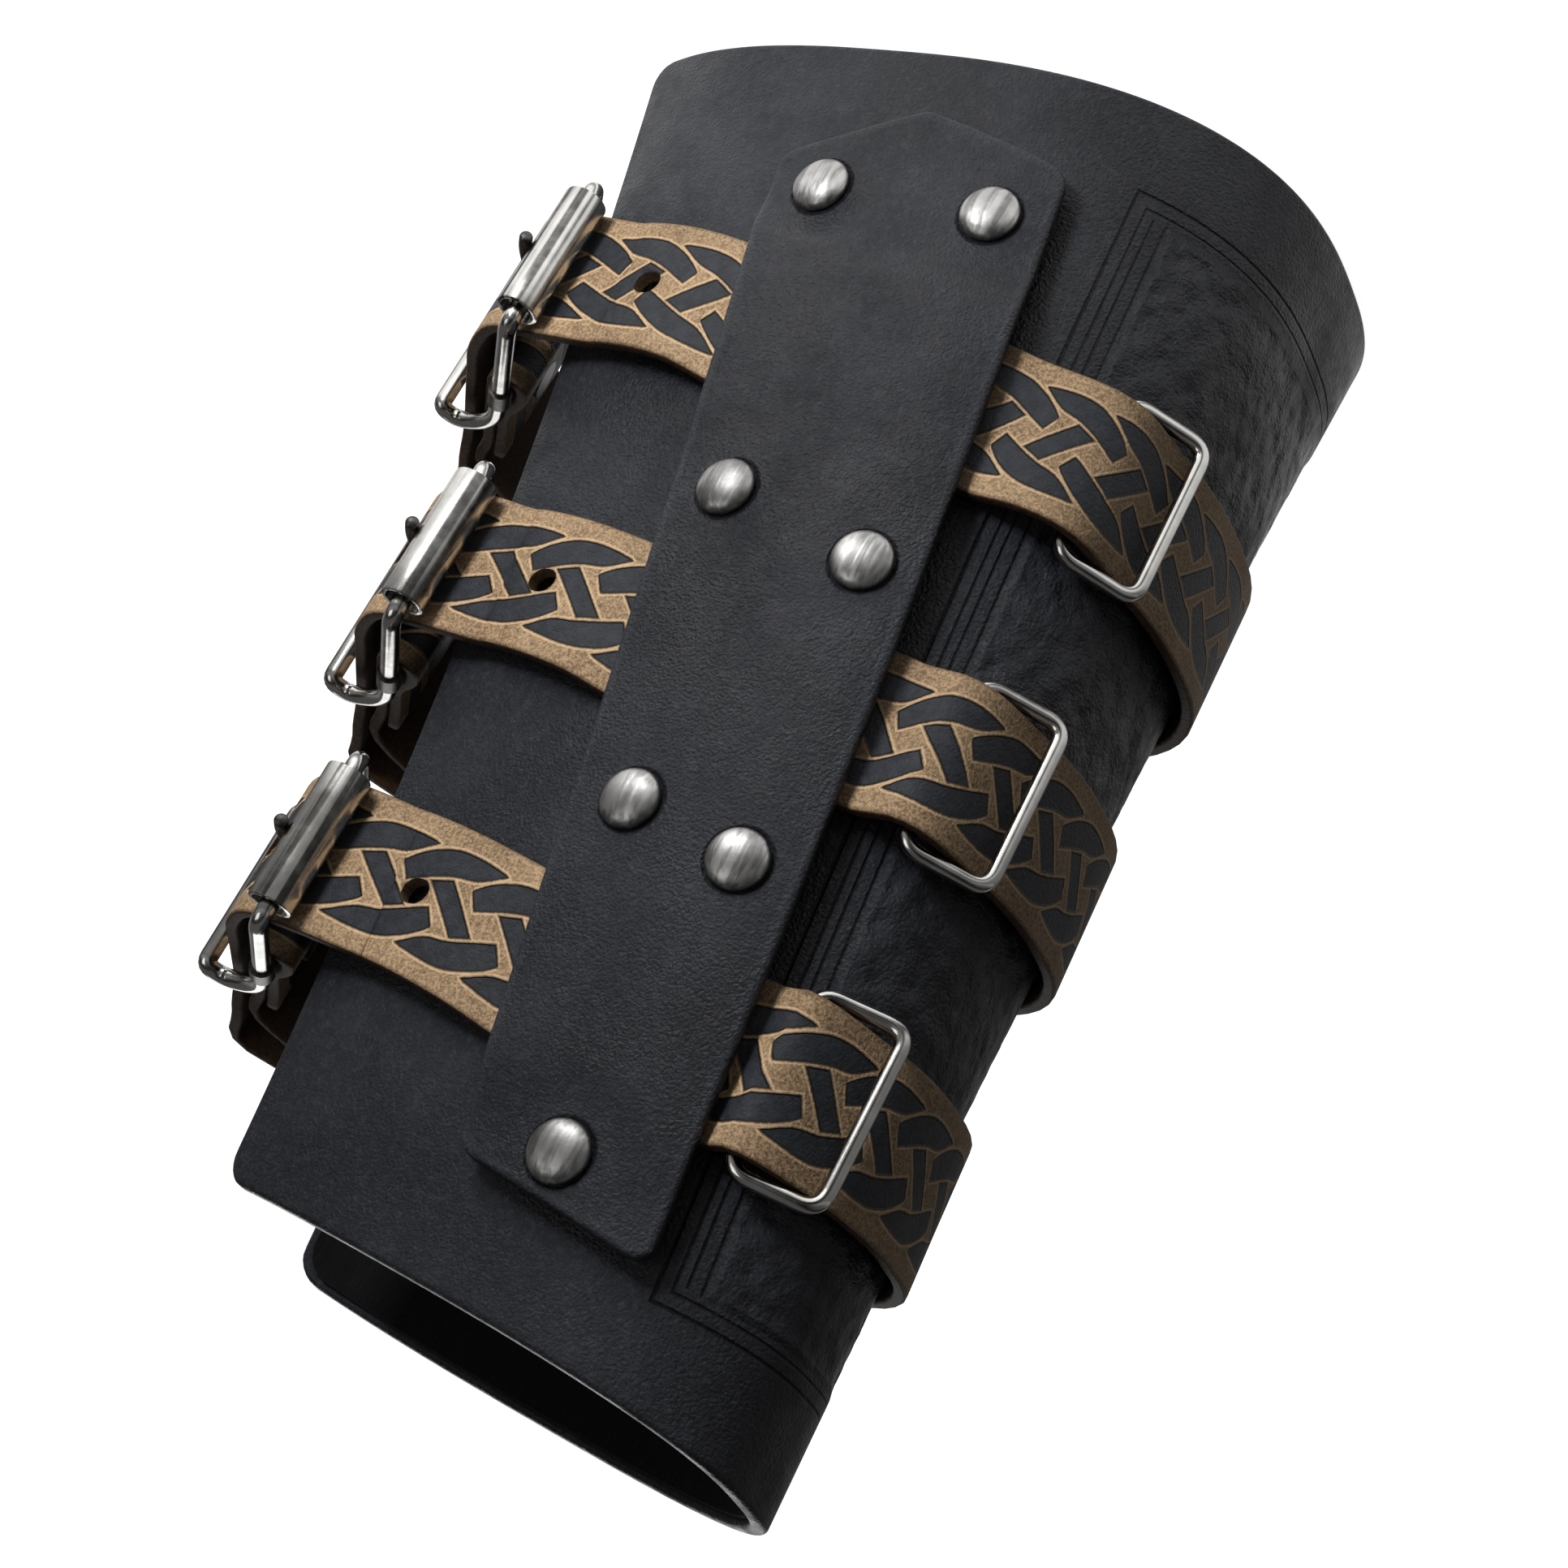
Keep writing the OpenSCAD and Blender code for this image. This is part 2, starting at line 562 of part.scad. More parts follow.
fold_post_d = 2.4;
fold_head_d = 7;
module strap_fold_rivet(i) {
    outer_y = -wrap_r + 0.35 - strap_t / 2 - 2 * pin_play;
    inner_y = fold_gap - wrap_r + 0.4 + strap_t / 2 + 2 * pin_play;
    head_h = 0.7;
    color([0.5, 0.5, 0.48])
        at_buckle(i)
            translate([fold_rivet_x, outer_y, 0])
                rotate([-90, 0, 0]) {
                    cylinder(d = fold_post_d, h = inner_y - outer_y);
                    translate([0, 0, -head_h]) cylinder(d = fold_head_d, h = head_h);
                    translate([0, 0, inner_y - outer_y]) cylinder(d = fold_head_d, h = head_h);
                }
}

// A round rod between two points
module rod(a, b, r) {
    d = b - a;
    translate(a)
        rotate([0, acos(d[2] / norm(d)), atan2(d[1], d[0])])
            cylinder(r = r, h = norm(d));
}
// A wire bent along a flat path of x and y, either closed or with two flat ends
wire_sides = 14;
module flat_wire(path, r, closed = false) {
    count = len(path);
    rings = [
        for (k = [0 : count - 1])
            let (
                before = closed ? path[(k + count - 1) % count] : path[max(0, k - 1)],
                after = closed ? path[(k + 1) % count] : path[min(count - 1, k + 1)],
                d0 = before == path[k] ? unit(after - path[k]) : unit(path[k] - before),
                d1 = after == path[k] ? d0 : unit(after - path[k]),
                t = unit(d0 + d1),
                reach = r / (t * d0)
            )
            for (j = [0 : wire_sides - 1])
                let (a = 360 * j / wire_sides)
                    [path[k][0] - t[1] * reach * cos(a), path[k][1] + t[0] * reach * cos(a), r * sin(a)]];
    function at(k, j) = (k % count) * wire_sides + j % wire_sides;
    sides = [
        for (k = [0 : count - (closed ? 1 : 2)]) for (j = [0 : wire_sides - 1])
            each [[at(k, j), at(k + 1, j), at(k + 1, j + 1)], [at(k, j), at(k + 1, j + 1), at(k, j + 1)]]];
    caps = closed ? [] : [
        [for (j = [0 : wire_sides - 1]) at(0, j)],
        [for (j = [wire_sides - 1 : -1 : 0]) at(count - 1, j)]];
    polyhedron(rings, concat(sides, caps), convexity = 8);
}
// A ball a hair wider than the wires that meet in it
module wire_ball(p, r) {
    translate(p) sphere(r = r + 0.05);
}

keeper_bar = [buckle_reach + 12.6, tail_y - strap_t / 2 - 3];
arm_path = [[0, 0], [buckle_reach, 0], [buckle_reach + 6, -0.4], [buckle_reach + 10, -2.4],
    [buckle_reach + 13, -5.6], [buckle_reach + 13.8, -8], keeper_bar];
function upright(p, z) = [p[0], p[1], z];
module buckle_frame(i) {
    color([0.72, 0.71, 0.68])
        at_buckle(i) {
            for (side = [-1, 1]) {
                translate([0, 0, side * arm_z]) flat_wire(arm_path, wire_r);
                wire_ball([0, 0, side * arm_z], wire_r);
                wire_ball(upright(keeper_bar, side * arm_z), wire_r);
            }
            rod([0, 0, -arm_z], [0, 0, arm_z], wire_r);
            rod(upright(keeper_bar, -arm_z), upright(keeper_bar, arm_z), wire_r);
        }
}

module buckle_centre_bar(i) {
    sleeve_l = 4.4;
    color([0.62, 0.61, 0.58])
        at_buckle(i)
            translate([buckle_reach - sleeve_l / 2 - 1, 0, 0])
                difference() {
                    union() {
                        translate([sleeve_l / 2 + 1, 0, -arm_z]) cylinder(r = bar_r, h = 2 * arm_z);
                        for (side = [-1, 1])
                            translate([-1, 0, side * arm_z]) rotate([0, 90, 0]) cylinder(r = sleeve_r, h = sleeve_l);
                    }
                    for (side = [-1, 1])
                        translate([-3, 0, side * arm_z]) rotate([0, 90, 0]) cylinder(r = wire_r + 0.02, h = sleeve_l + 10);
                }
}

module buckle_roller(i) {
    bore_r = wire_r + pin_play;
    cup_r = roller_r - 0.8;
    cup_h = 1.2;
    color([0.78, 0.77, 0.74])
        at_buckle(i)
            difference() {
                translate([0, 0, -roller_half_l]) cylinder(r = roller_r, h = 2 * roller_half_l, $fn = 48);
                translate([0, 0, -roller_half_l - 1]) cylinder(r = bore_r, h = 2 * roller_half_l + 2);
                for (side = [-1, 1])
                    translate([0, 0, side * roller_half_l - cup_h]) cylinder(r = cup_r, h = 2 * cup_h);
            }
}

// The prong's eye turns on the centre bar, and its tip rests on the roller
prong_r = prong_d / 2;
prong_eye_w = 3;
prong_tip = [-1.4, -(roller_r + prong_r + pin_play)];
module buckle_prong(i) {
    eye_outer_r = bar_r + pin_play + 1.4;
    root = [buckle_reach - bar_r - pin_play - prong_r, -0.6];
    color([0.7, 0.69, 0.66])
        at_buckle(i)
            difference() {
                union() {
                    translate([buckle_reach, 0, -prong_eye_w / 2]) cylinder(r = eye_outer_r, h = prong_eye_w);
                    flat_wire([root, root + [-3.5, -0.4], [1.5, prong_tip[1]], prong_tip], prong_r);
                    wire_ball(upright(prong_tip, 0), prong_r);
                }
                translate([buckle_reach, 0, -4]) cylinder(r = bar_r + pin_play, h = 8);
            }
}

// The rings stand round the straps and lean out with them
ring_half_h = strap_w / 2 + 0.5 + ring_r;
ring_corner = 2.4;
function ring_bar(i, angle, off) =
    let (
        low = strap_low_edge(i, angle),
        p = skin(angle, low, off),
        q = skin(angle, low + strap_w, off + flare_at(i, angle))
    ) [(p + q) / 2, unit(q - p)];
module keeper_ring(i) {
    hidden = ring_bar(i, hidden_angle, play + ring_r + 0.25);
    outer = ring_bar(i, -ring_angle, strap_lift + strap_t + play + ring_r + 0.3);
    up = unit(hidden[1] + outer[1]);
    between = outer[0] - hidden[0];
    across = unit(between - (between * up) * up);
    out = cross(up, across);
    place = hidden[0];
    color([0.74, 0.72, 0.68])
        multmatrix([for (k = [0 : 3]) k < 3 ? [across[k], up[k], -out[k], place[k]] : [0, 0, 0, 1]])
            {
                bar_end = ring_half_h - ring_corner;
                flat_wire(ring_outline(ring_reach, ring_half_h, ring_corner), ring_r);
                // The bar under the strap is round, and the ring turns about it
                rod([0, -bar_end, 0], [0, bar_end, 0], ring_r);
                for (side = [-1, 1]) wire_ball([0, side * bar_end, 0], ring_r);
            }
}
function ring_outline(reach, half, c) = [
    for (corner = [[c, c - half, 180], [reach - c, c - half, 270], [reach - c, half - c, 0], [c, half - c, 90]])
        for (a = [0, 30, 60, 90])
            [corner[0] + c * cos(corner[2] + a), corner[1] + c * sin(corner[2] + a)]];

body_shell();
suede_lining();
front_placket();
placket_rivet_caps();
placket_rivet_posts();
strap(0);  // strap_1
strap(1);  // strap_2
strap(2);  // strap_3
strap_fold_rivet(0);  // strap_fold_rivet_1
strap_fold_rivet(1);  // strap_fold_rivet_2
strap_fold_rivet(2);  // strap_fold_rivet_3
buckle_frame(0);  // buckle_frame_1
buckle_frame(1);  // buckle_frame_2
buckle_frame(2);  // buckle_frame_3
buckle_centre_bar(0);  // buckle_centre_bar_1
buckle_centre_bar(1);  // buckle_centre_bar_2
buckle_centre_bar(2);  // buckle_centre_bar_3
buckle_roller(0);  // buckle_roller_1
buckle_roller(1);  // buckle_roller_2
buckle_roller(2);  // buckle_roller_3
buckle_prong(0);  // buckle_prong_1
buckle_prong(1);  // buckle_prong_2
buckle_prong(2);  // buckle_prong_3
keeper_ring(0);  // keeper_ring_1
keeper_ring(1);  // keeper_ring_2
keeper_ring(2);  // keeper_ring_3
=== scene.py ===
# Leather forearm bracer: the looks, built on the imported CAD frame.
# Sizes in the functions below are millimetres in the frame's axes, and become metres when a mesh is made.

import math

import bmesh
import bpy
import numpy as np
from mathutils import Matrix, Vector


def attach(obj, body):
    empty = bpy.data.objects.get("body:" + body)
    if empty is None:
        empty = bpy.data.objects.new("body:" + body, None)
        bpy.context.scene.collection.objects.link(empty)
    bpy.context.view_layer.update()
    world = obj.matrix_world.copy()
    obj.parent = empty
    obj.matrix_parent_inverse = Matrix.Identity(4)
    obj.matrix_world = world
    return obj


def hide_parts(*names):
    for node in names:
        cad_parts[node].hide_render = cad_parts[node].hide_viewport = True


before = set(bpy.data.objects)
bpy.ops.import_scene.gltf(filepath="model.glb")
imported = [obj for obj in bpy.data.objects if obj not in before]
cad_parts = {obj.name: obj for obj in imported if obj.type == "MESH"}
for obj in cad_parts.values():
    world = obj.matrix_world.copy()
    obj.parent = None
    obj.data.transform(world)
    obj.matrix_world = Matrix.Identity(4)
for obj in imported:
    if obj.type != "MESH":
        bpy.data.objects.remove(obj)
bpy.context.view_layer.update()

bl_info = {
    "name": "Leather bracer",
    "version": (1, 0, 0),
    "blender": (4, 5, 0),
    "location": "View3D > Sidebar > Bracer",
    "description": "Leather, tooled straps, rivets, buckles and rings of a forearm bracer",
    "category": "Object",
}

MM = 0.001
FIXED = "bracer"


# Sizes and colours

def length_of(name, description, default):
    return bpy.props.FloatProperty(name=name, description=description, default=default, unit="LENGTH")


def colour_of(name, description, *default):
    return bpy.props.FloatVectorProperty(
        name=name, description=description, subtype="COLOR", size=3, default=default)


class BracerSizes(bpy.types.PropertyGroup):
    """Sizes of the leather work, in metres"""
    edge_round: length_of("Edge rounding", "How far the cut edges of the body are rounded", 0.0009)
    panel_depth: length_of("Panel depth", "How far the hammered panel is pressed in", 0.00035)
    rivet_width: length_of("Rivet width", "Diameter of the rivet caps", 0.0094)
    rivet_height: length_of("Rivet height", "Height of the rivet caps", 0.0023)
    plait_spread: length_of("Plait spread", "How much wider the plait's bands are on each side", 0.0)


class BracerColours(bpy.types.PropertyGroup):
    """Colours of the leathers and metals"""
    black_leather: colour_of("Black leather", "Body and placket", 0.0065, 0.0070, 0.0090)
    worn_leather: colour_of("Worn leather", "Rubbed places of the black leather", 0.046, 0.048, 0.056)
    suede: colour_of("Suede", "Lining", 0.0035, 0.0035, 0.004)
    tan: colour_of("Tan", "Strap leather", 0.400, 0.280, 0.165)
    dark_tan: colour_of("Dark tan", "Speckles and shaded parts of the straps", 0.100, 0.060, 0.031)
    strap_edge: colour_of("Strap edge", "Cut edges and flesh side of the straps", 0.050, 0.028, 0.015)
    plait: colour_of("Plait", "Sunken bands of the straps", 0.017, 0.0185, 0.023)
    polished_nickel: colour_of("Polished nickel", "Rollers, frames and rings", 0.82, 0.80, 0.76)
    brushed_nickel: colour_of("Brushed nickel", "Rivet caps", 0.60, 0.59, 0.575)
    dark_steel: colour_of("Dark steel", "Prongs, centre bars and rivet posts", 0.10, 0.095, 0.09)


# The form of the bracer, as the CAD source has it

LENGTH = 207.6
HALF_WIDTH = (70.0, 56.0)
FRONT_DEPTH = (46.5, 24.0)
BACK_DEPTH = (42.0, 25.3)
ORIGIN = (-1.7, 3.95)
WRIST_SHIFT = 16.3
WRIST_FORWARD = 1.6
WAIST = 1.8
SECTION_POWER = 2.6
LEATHER = 2.8
LINING = 0.8
GLUE_GAP = 0.15
LINING_INSET = 1.2
FLAP_CORNER = 4.0
EDGE_ANGLES = (36.0, 32.5)
EDGE_BOW = 7.0
BACK_EDGE = 21.0
RIM_SLOPE = 0.112
RIM_LEAN = 0.061
PLACKET_W = (48.0, 31.3)
PLACKET_T = 2.6
PLACKET_LOW = 22.2
PLACKET_GAP = 15.5
PLACKET_POINT = 8.0
PLACKET_OFFSET = (17.8, 39.5)
PLACKET_BOW = 0.9
PLACKET_SLOPE = 0.112
PLACKET_CORNER = 3.0
PLACKET_HIGH = LENGTH - PLACKET_GAP
STRAP_W = 25.0
STRAP_T = 2.1
STRAP_LOW = 0.2515 * LENGTH
STRAP_PITCH = 0.2469 * LENGTH
STRAP_RISE = 9.2
FIRST_EXTRA_RISE = 3.4
GAP_RISE = 6.0
OPENING_FLARE = 2.5
BEND_FLARE = 1.0
SIDE_FLARE = 2.6
BACK_FLARE = 1.0
HOLE_D = 4.2
HOLE_PITCH = 25.4
HOLE_STRETCH = 0.8
PRONG_HOLE_STRETCH = 6.8
TAIL_REACH = 50.0
ROLLER_D = 7.2
WIRE_D = 3.0
BUCKLE_REACH = 26.0
BUCKLE_TURN = math.radians(56.0)
ROLLER_STAND = 11.0
ROLLER_STEP = 1.1
PRONG_D = 2.2
RING_WIRE = 2.4
RING_REACH = 13.5
RING_ANGLE = 164.5
PLAY = 0.3
PIN_PLAY = 0.1
STRAP_LIFT = 0.4
UNDER_PLACKET = 0.8


def mix(a, b, t):
    return a + (b - a) * t


def clamp01(t):
    return np.clip(t, 0.0, 1.0)


def smooth(t):
    c = clamp01(t)
    return c * c * (3 - 2 * c)


def unit(v):
    v = np.asarray(v, float)
    return v / np.linalg.norm(v)


def spline(points, steps):
    """Points of a smooth curve from the second control point to the last but one."""
    p = np.asarray(points, float)
    made = []
    for i in range(1, len(p) - 2):
        a, b, c, d = p[i - 1], p[i], p[i + 1], p[i + 2]
        for k in range(steps):
            t = k / steps
            made.append(0.5 * (2 * b + (c - a) * t + (2 * a - 5 * b + 4 * c - d) * t * t
                               + (3 * b - a - 3 * c + d) * t ** 3))
    return made


def half_width(z):
    v = z / LENGTH
    return mix(*HALF_WIDTH, v) - WAIST * 4 * v * (1 - v)


def front_depth(z):
    return mix(*FRONT_DEPTH, z / LENGTH)


def back_depth(z):
    return mix(*BACK_DEPTH, z / LENGTH)


def middle_x(z):
    return ORIGIN[0] - WRIST_SHIFT * z / LENGTH


def middle_y(z):
    return ORIGIN[1] - WRIST_FORWARD * z / LENGTH


def section_normal(x, y, z):
    """Outward direction of the section, for arrays of points about its middle."""
    depth = np.where(y < 0, front_depth(z), back_depth(z))
    p = SECTION_POWER - 1
    gx = np.sign(x) * (np.abs(x) / half_width(z)) ** p / half_width(z)
    gy = np.sign(y) * (np.abs(y) / depth) ** p / depth
    size = np.sqrt(gx * gx + gy * gy)
    return gx / size, gy / size


def skin(angle, z, off=0.0):
    """Points at angles in degrees and heights, off millimetres outside the outer face."""
    angle = np.asarray(angle, float)
    z = np.asarray(z, float) + 0 * angle
    c, s = np.cos(np.radians(angle)), np.sin(np.radians(angle))
    depth = np.where(s < 0, front_depth(z), back_depth(z))
    n = SECTION_POWER
    r = 1 / ((np.abs(c) / half_width(z)) ** n + (np.abs(s) / depth) ** n) ** (1 / n)
    nx, ny = section_normal(r * c, r * s, z)
    return np.stack([middle_x(z) + r * c + off * nx, middle_y(z) + r * s + off * ny, z], axis=-1)


def front_y(x, z):
    share = np.abs(x - middle_x(z)) / half_width(z)
    return middle_y(z) - front_depth(z) * (1 - share ** SECTION_POWER) ** (1 / SECTION_POWER)


def front_skin(x, z, off=0.0):
    y = front_y(x, z)
    nx, ny = section_normal(x - middle_x(z), y - middle_y(z), z)
    return np.stack([x + off * nx, y + off * ny, z + 0 * x], axis=-1)


def front_facing(x, z):
    return unit([front_y(x + 1, z) - front_y(x - 1, z), -2, front_y(x, z + 1) - front_y(x, z - 1)])


def corner_draw(r, distance):
    inside = np.clip(r - distance, 0, r)
    return r - np.sqrt(r * r - inside * inside)


def front_edge(v):
    return -mix(*EDGE_ANGLES, v) - EDGE_BOW * 4 * v * (1 - v)


def rim_z(angle, inset):
    p = skin(angle, LENGTH)
    return (LENGTH - RIM_SLOPE * (p[..., 0] - middle_x(LENGTH))
            + RIM_LEAN * (p[..., 1] - middle_y(LENGTH)) - inset)


def strap_base(i):
    return STRAP_LOW + i * STRAP_PITCH


def strap_z(i, x):
    share = (x - ORIGIN[0]) / HALF_WIDTH[0]
    more = (smooth((0.5 - share) / 0.86) - 0.75 - 0.26 * smooth((-0.1 - share) / 0.45)
            + 0.35 * smooth((-0.6 - share) / 0.4))
    rise = STRAP_RISE * smooth((0.31 - share) / 1.03)
    return strap_base(i) + rise + (FIRST_EXTRA_RISE * more if i == 0 else 0)


def back_strap_z(i, x):
    share = (x - ORIGIN[0]) / HALF_WIDTH[0]
    return mix(strap_z(i, ORIGIN[0] - HALF_WIDTH[0]), strap_base(i) + GAP_RISE, clamp01((share + 0.9) / 1.6))


def placket_share(z):
    return (z - PLACKET_LOW) / (PLACKET_HIGH - PLACKET_LOW)


def placket_w(z):
    return mix(*PLACKET_W, placket_share(z))


def placket_x(s, z):
    v = placket_share(z)
    return ORIGIN[0] - mix(*PLACKET_OFFSET, v) - PLACKET_BOW * 4 * v * (1 - v) + (0.5 - s) * placket_w(z)


def placket_low_end(s):
    side = np.minimum(s, 1 - s)
    return (PLACKET_LOW + PLACKET_SLOPE * (0.5 - s) * PLACKET_W[0] - PLACKET_POINT * 2 * side
            + corner_draw(PLACKET_CORNER, side * PLACKET_W[0]))


def placket_high_end(s):
    side = np.minimum(s, 1 - s)
    return (PLACKET_HIGH - 1.5 * PLACKET_SLOPE * (0.5 - s) * PLACKET_W[1]
            - corner_draw(PLACKET_CORNER, side * PLACKET_W[1]))


def gap_z(i, x):
    return (strap_z(i, x) + strap_z(i + 1, x)) / 2


def gap_height(i, s):
    return gap_z(i, placket_x(s, gap_z(i, ORIGIN[0])))


# The flat seat of a cap, and how far from it the placket may rise
CAP_SEAT = 4.7
SEAT_CLEAR = 0.8
SEAT_FADE = 7
RIVET_PLACES = [
    (0.206, PLACKET_LOW + 8), (0.816, PLACKET_LOW + 8),
    *[(s, gap_height(i, s) + up * STRAP_PITCH)
      for i, s, up in ((0, 0.244, 0.0381), (0, 0.813, 0.0827), (1, 0.285, -0.0115), (1, 0.77, 0.0115))],
    (0.497, PLACKET_HIGH - 7.3)]
RIVET_SPOTS = [(placket_x(s, z), z) for s, z in RIVET_PLACES]


def is_between(x, z):
    return (z > strap_z(0, x)) & (z < strap_z(2, x))


def placket_rest_off(x, z):
    return np.where(is_between(x, z), 3.6, np.where(z > strap_z(0, x), 2.6, 1.8))


def placket_off(x, z):
    sag = STRAP_PITCH * np.where(is_between(x, z), 0.176, 0.215)
    over = [1 - smooth((np.abs(z - strap_z(i, x)) - STRAP_W / 2 - 1) / sag) for i in range(3)]
    ride = np.maximum.reduce(over)
    away = np.minimum.reduce([np.hypot(x - a, z - b) for a, b in RIVET_SPOTS])
    flat = smooth((away - CAP_SEAT - SEAT_CLEAR) / SEAT_FADE)
    high = STRAP_LIFT + STRAP_T + UNDER_PLACKET + PLAY
    return mix(placket_rest_off(x, z), high, ride * flat)


def rivet_seat(x, z):
    """Where a cap sits on the placket, and the way it faces."""
    n = front_facing(x, z)
    off = float(placket_rest_off(x, z)) + PLACKET_T + 0.1
    return front_skin(np.float64(x), np.float64(z)) + n * off, n


# Buckle places and strap paths

def edge_spot(i):
    z = strap_z(i, ORIGIN[0] + HALF_WIDTH[0] / 2)
    return skin(front_edge(z / LENGTH), z)


def roller_xy(i):
    p = edge_spot(i)
    return np.array([p[0] + ROLLER_STEP * i, p[1] - ROLLER_STAND])


def buckle_z(i):
    return float(strap_z(i, roller_xy(i)[0]))


def buckle_xy(i, p):
    r = roller_xy(i)
    c, s = math.cos(BUCKLE_TURN), math.sin(BUCKLE_TURN)
    return np.array([r[0] + p[0] * c - p[1] * s, r[1] + p[0] * s + p[1] * c])


def at_buckle(i, points):
    """Points of the buckle's own plane, x along its arms and -y outwards, in the frame."""
    made = []
    for p in points:
        q = buckle_xy(i, p)
        made.append([q[0], q[1], buckle_z(i) + p[2]])
    return np.array(made)


BAR_R = WIRE_D / 2 - 0.1
SLEEVE_R = WIRE_D / 2 + 0.5
ARM_Z = STRAP_W / 2 + SLEEVE_R + 0.3
WRAP_R = BAR_R + PLAY + STRAP_T / 2
TAIL_Y = -(WRAP_R + STRAP_T + 1.8)
PASS_R = ROLLER_D / 2 + PLAY + STRAP_T / 2 + 0.1
KEEPER_BAR = (BUCKLE_REACH + 12.6, TAIL_Y - STRAP_T / 2 - 3)


def past_roller(k):
    c, s = math.cos(BUCKLE_TURN), math.sin(BUCKLE_TURN)
    return (PASS_R * s + k * c, PASS_R * c - k * s)


def free_pair(i, p):
    q = buckle_xy(i, p)
    z = buckle_z(i) + GAP_RISE * float(smooth((p[0] - BUCKLE_REACH - 14) / 30))
    return [q[0], q[1], z - STRAP_W / 2, q[0], q[1], z + STRAP_W / 2]


def strap_low_edge(i, angle):
    front = math.sin(math.radians(angle)) < 0
    of_x = strap_z if front else back_strap_z
    p = skin(angle, of_x(i, ORIGIN[0]))
    return float(of_x(i, p[0])) - STRAP_W / 2


def flare_at(i, angle):
    z = strap_low_edge(i, angle) + STRAP_W
    x = skin(angle, z)[0]
    flat = 0.9 * UNDER_PLACKET
    if math.sin(math.radians(angle)) >= 0:
        turned = angle if abs(angle) > 180 else angle - 360
        return mix(BEND_FLARE, BACK_FLARE, float(smooth((abs(turned) - 180) / 60)))
    if x > placket_x(0, z):
        return mix(flat, OPENING_FLARE, float(smooth((x - placket_x(0, z) - 2) / 9)))
    past = placket_x(1, z) - x
    return mix(mix(flat, SIDE_FLARE, float(smooth(past / 8))), BEND_FLARE, float(smooth((past - 9) / 12)))


def body_pair(i, angle, off):
    low = strap_low_edge(i, angle)
    p = skin(angle, low, off)
    q = skin(angle, low + STRAP_W, off + flare_at(i, angle))
    return [*p, *q]


RING_STEP = math.degrees(RING_REACH / HALF_WIDTH[0]) * 0.88
HIDDEN_ANGLE = RING_STEP - RING_ANGLE
RING_RISE = RING_WIRE + 2 * PLAY - STRAP_LIFT + 0.55
FIRST_ANGLE = -54
STRIP_OFF = STRAP_LIFT + STRAP_T / 2
TAIL_OFF = STRIP_OFF + STRAP_LIFT + STRAP_T
LAST_ANGLE = BACK_EDGE - 360 + 7


def ring_bump(i, angle):
    z = strap_base(i) + STRAP_RISE
    bar_x = skin(HIDDEN_ANGLE, z)[0]
    room = min(14, placket_x(1, z + STRAP_W / 2) - bar_x - 1)
    flat = RING_WIRE / 2 + PLAY
    if angle > HIDDEN_ANGLE:
        share = (skin(angle, z)[0] - bar_x - flat) / (room - flat)
    else:
        share = (math.radians(HIDDEN_ANGLE - angle) * HALF_WIDTH[0] - flat) / (RING_REACH - flat)
    share = float(clamp01(share))
    return RING_RISE * (1 - share) ** 2 * (1 + 0.7 * share)


def strap_path(i):
    """Stations of a strap from its tip to its fold: a point on each long edge, as six numbers."""
    tail = [body_pair(i, BACK_EDGE + TAIL_REACH * k, TAIL_OFF) for k in (1.2, 1, 0.75, 0.5, 0.25)]
    tail.append(body_pair(i, BACK_EDGE + 2, TAIL_OFF + 1.6))
    tail.append(free_pair(i, (BUCKLE_REACH + 39, TAIL_Y + 4.6)))
    for x in (30, 20, 10, 1, -8):
        tail.append(free_pair(i, (BUCKLE_REACH + x, TAIL_Y + (max(0, x) / 30) ** 2 * 1.5)))
    tail += [free_pair(i, past_roller(8)), free_pair(i, past_roller(0))]
    tail += [body_pair(i, a, STRIP_OFF) for a in (FIRST_ANGLE + 3, FIRST_ANGLE, FIRST_ANGLE - 3)]
    # Closer together round the ring's hidden bar
    angles = list(np.arange(FIRST_ANGLE, -139.1, -3)) + list(np.arange(-140.5, -170.1, -1.5))
    angles += list(np.arange(-173, LAST_ANGLE - 0.1, -3))
    body = [body_pair(i, a, STRIP_OFF + ring_bump(i, a)) for a in angles]
    leave = np.array(body_pair(i, LAST_ANGLE, STRIP_OFF))
    meet = np.array(free_pair(i, (BUCKLE_REACH + 28, -1.4)))
    out = 4 * unit([meet[1] - leave[1], leave[0] - meet[0]])
    halfway = (leave + meet) / 2 - np.array([out[0], out[1], 0, out[0], out[1], 0])
    strip = [body_pair(i, LAST_ANGLE + 3, STRIP_OFF), leave, halfway, meet]
    strip += [free_pair(i, (BUCKLE_REACH + x, -WRAP_R + max(0, x - 8) * 0.05)) for x in (20, 10, 2, -4)]
    wrap = [free_pair(i, (BUCKLE_REACH - WRAP_R * math.sin(a), -WRAP_R * math.cos(a)))
            for a in np.radians(np.arange(0, 181, 15))]
    fold_gap = STRAP_T + 0.25
    fold = [(-3, WRAP_R), (3, WRAP_R - 0.2)]
    fold += [(x, fold_gap - WRAP_R + up) for x, up in ((9, 0.5), (15, 0.4), (20, 0.6), (24, 0.8), (29, 1))]
    fold = [free_pair(i, (BUCKLE_REACH + x, y)) for x, y in fold]
    return np.array(spline(tail, 4) + body + spline(strip, 4) + wrap + spline(fold, 3))


# Mesh helpers

def linked(name, data):
    made = bpy.data.objects.new(name, data)
    bpy.context.scene.collection.objects.link(made)
    return made


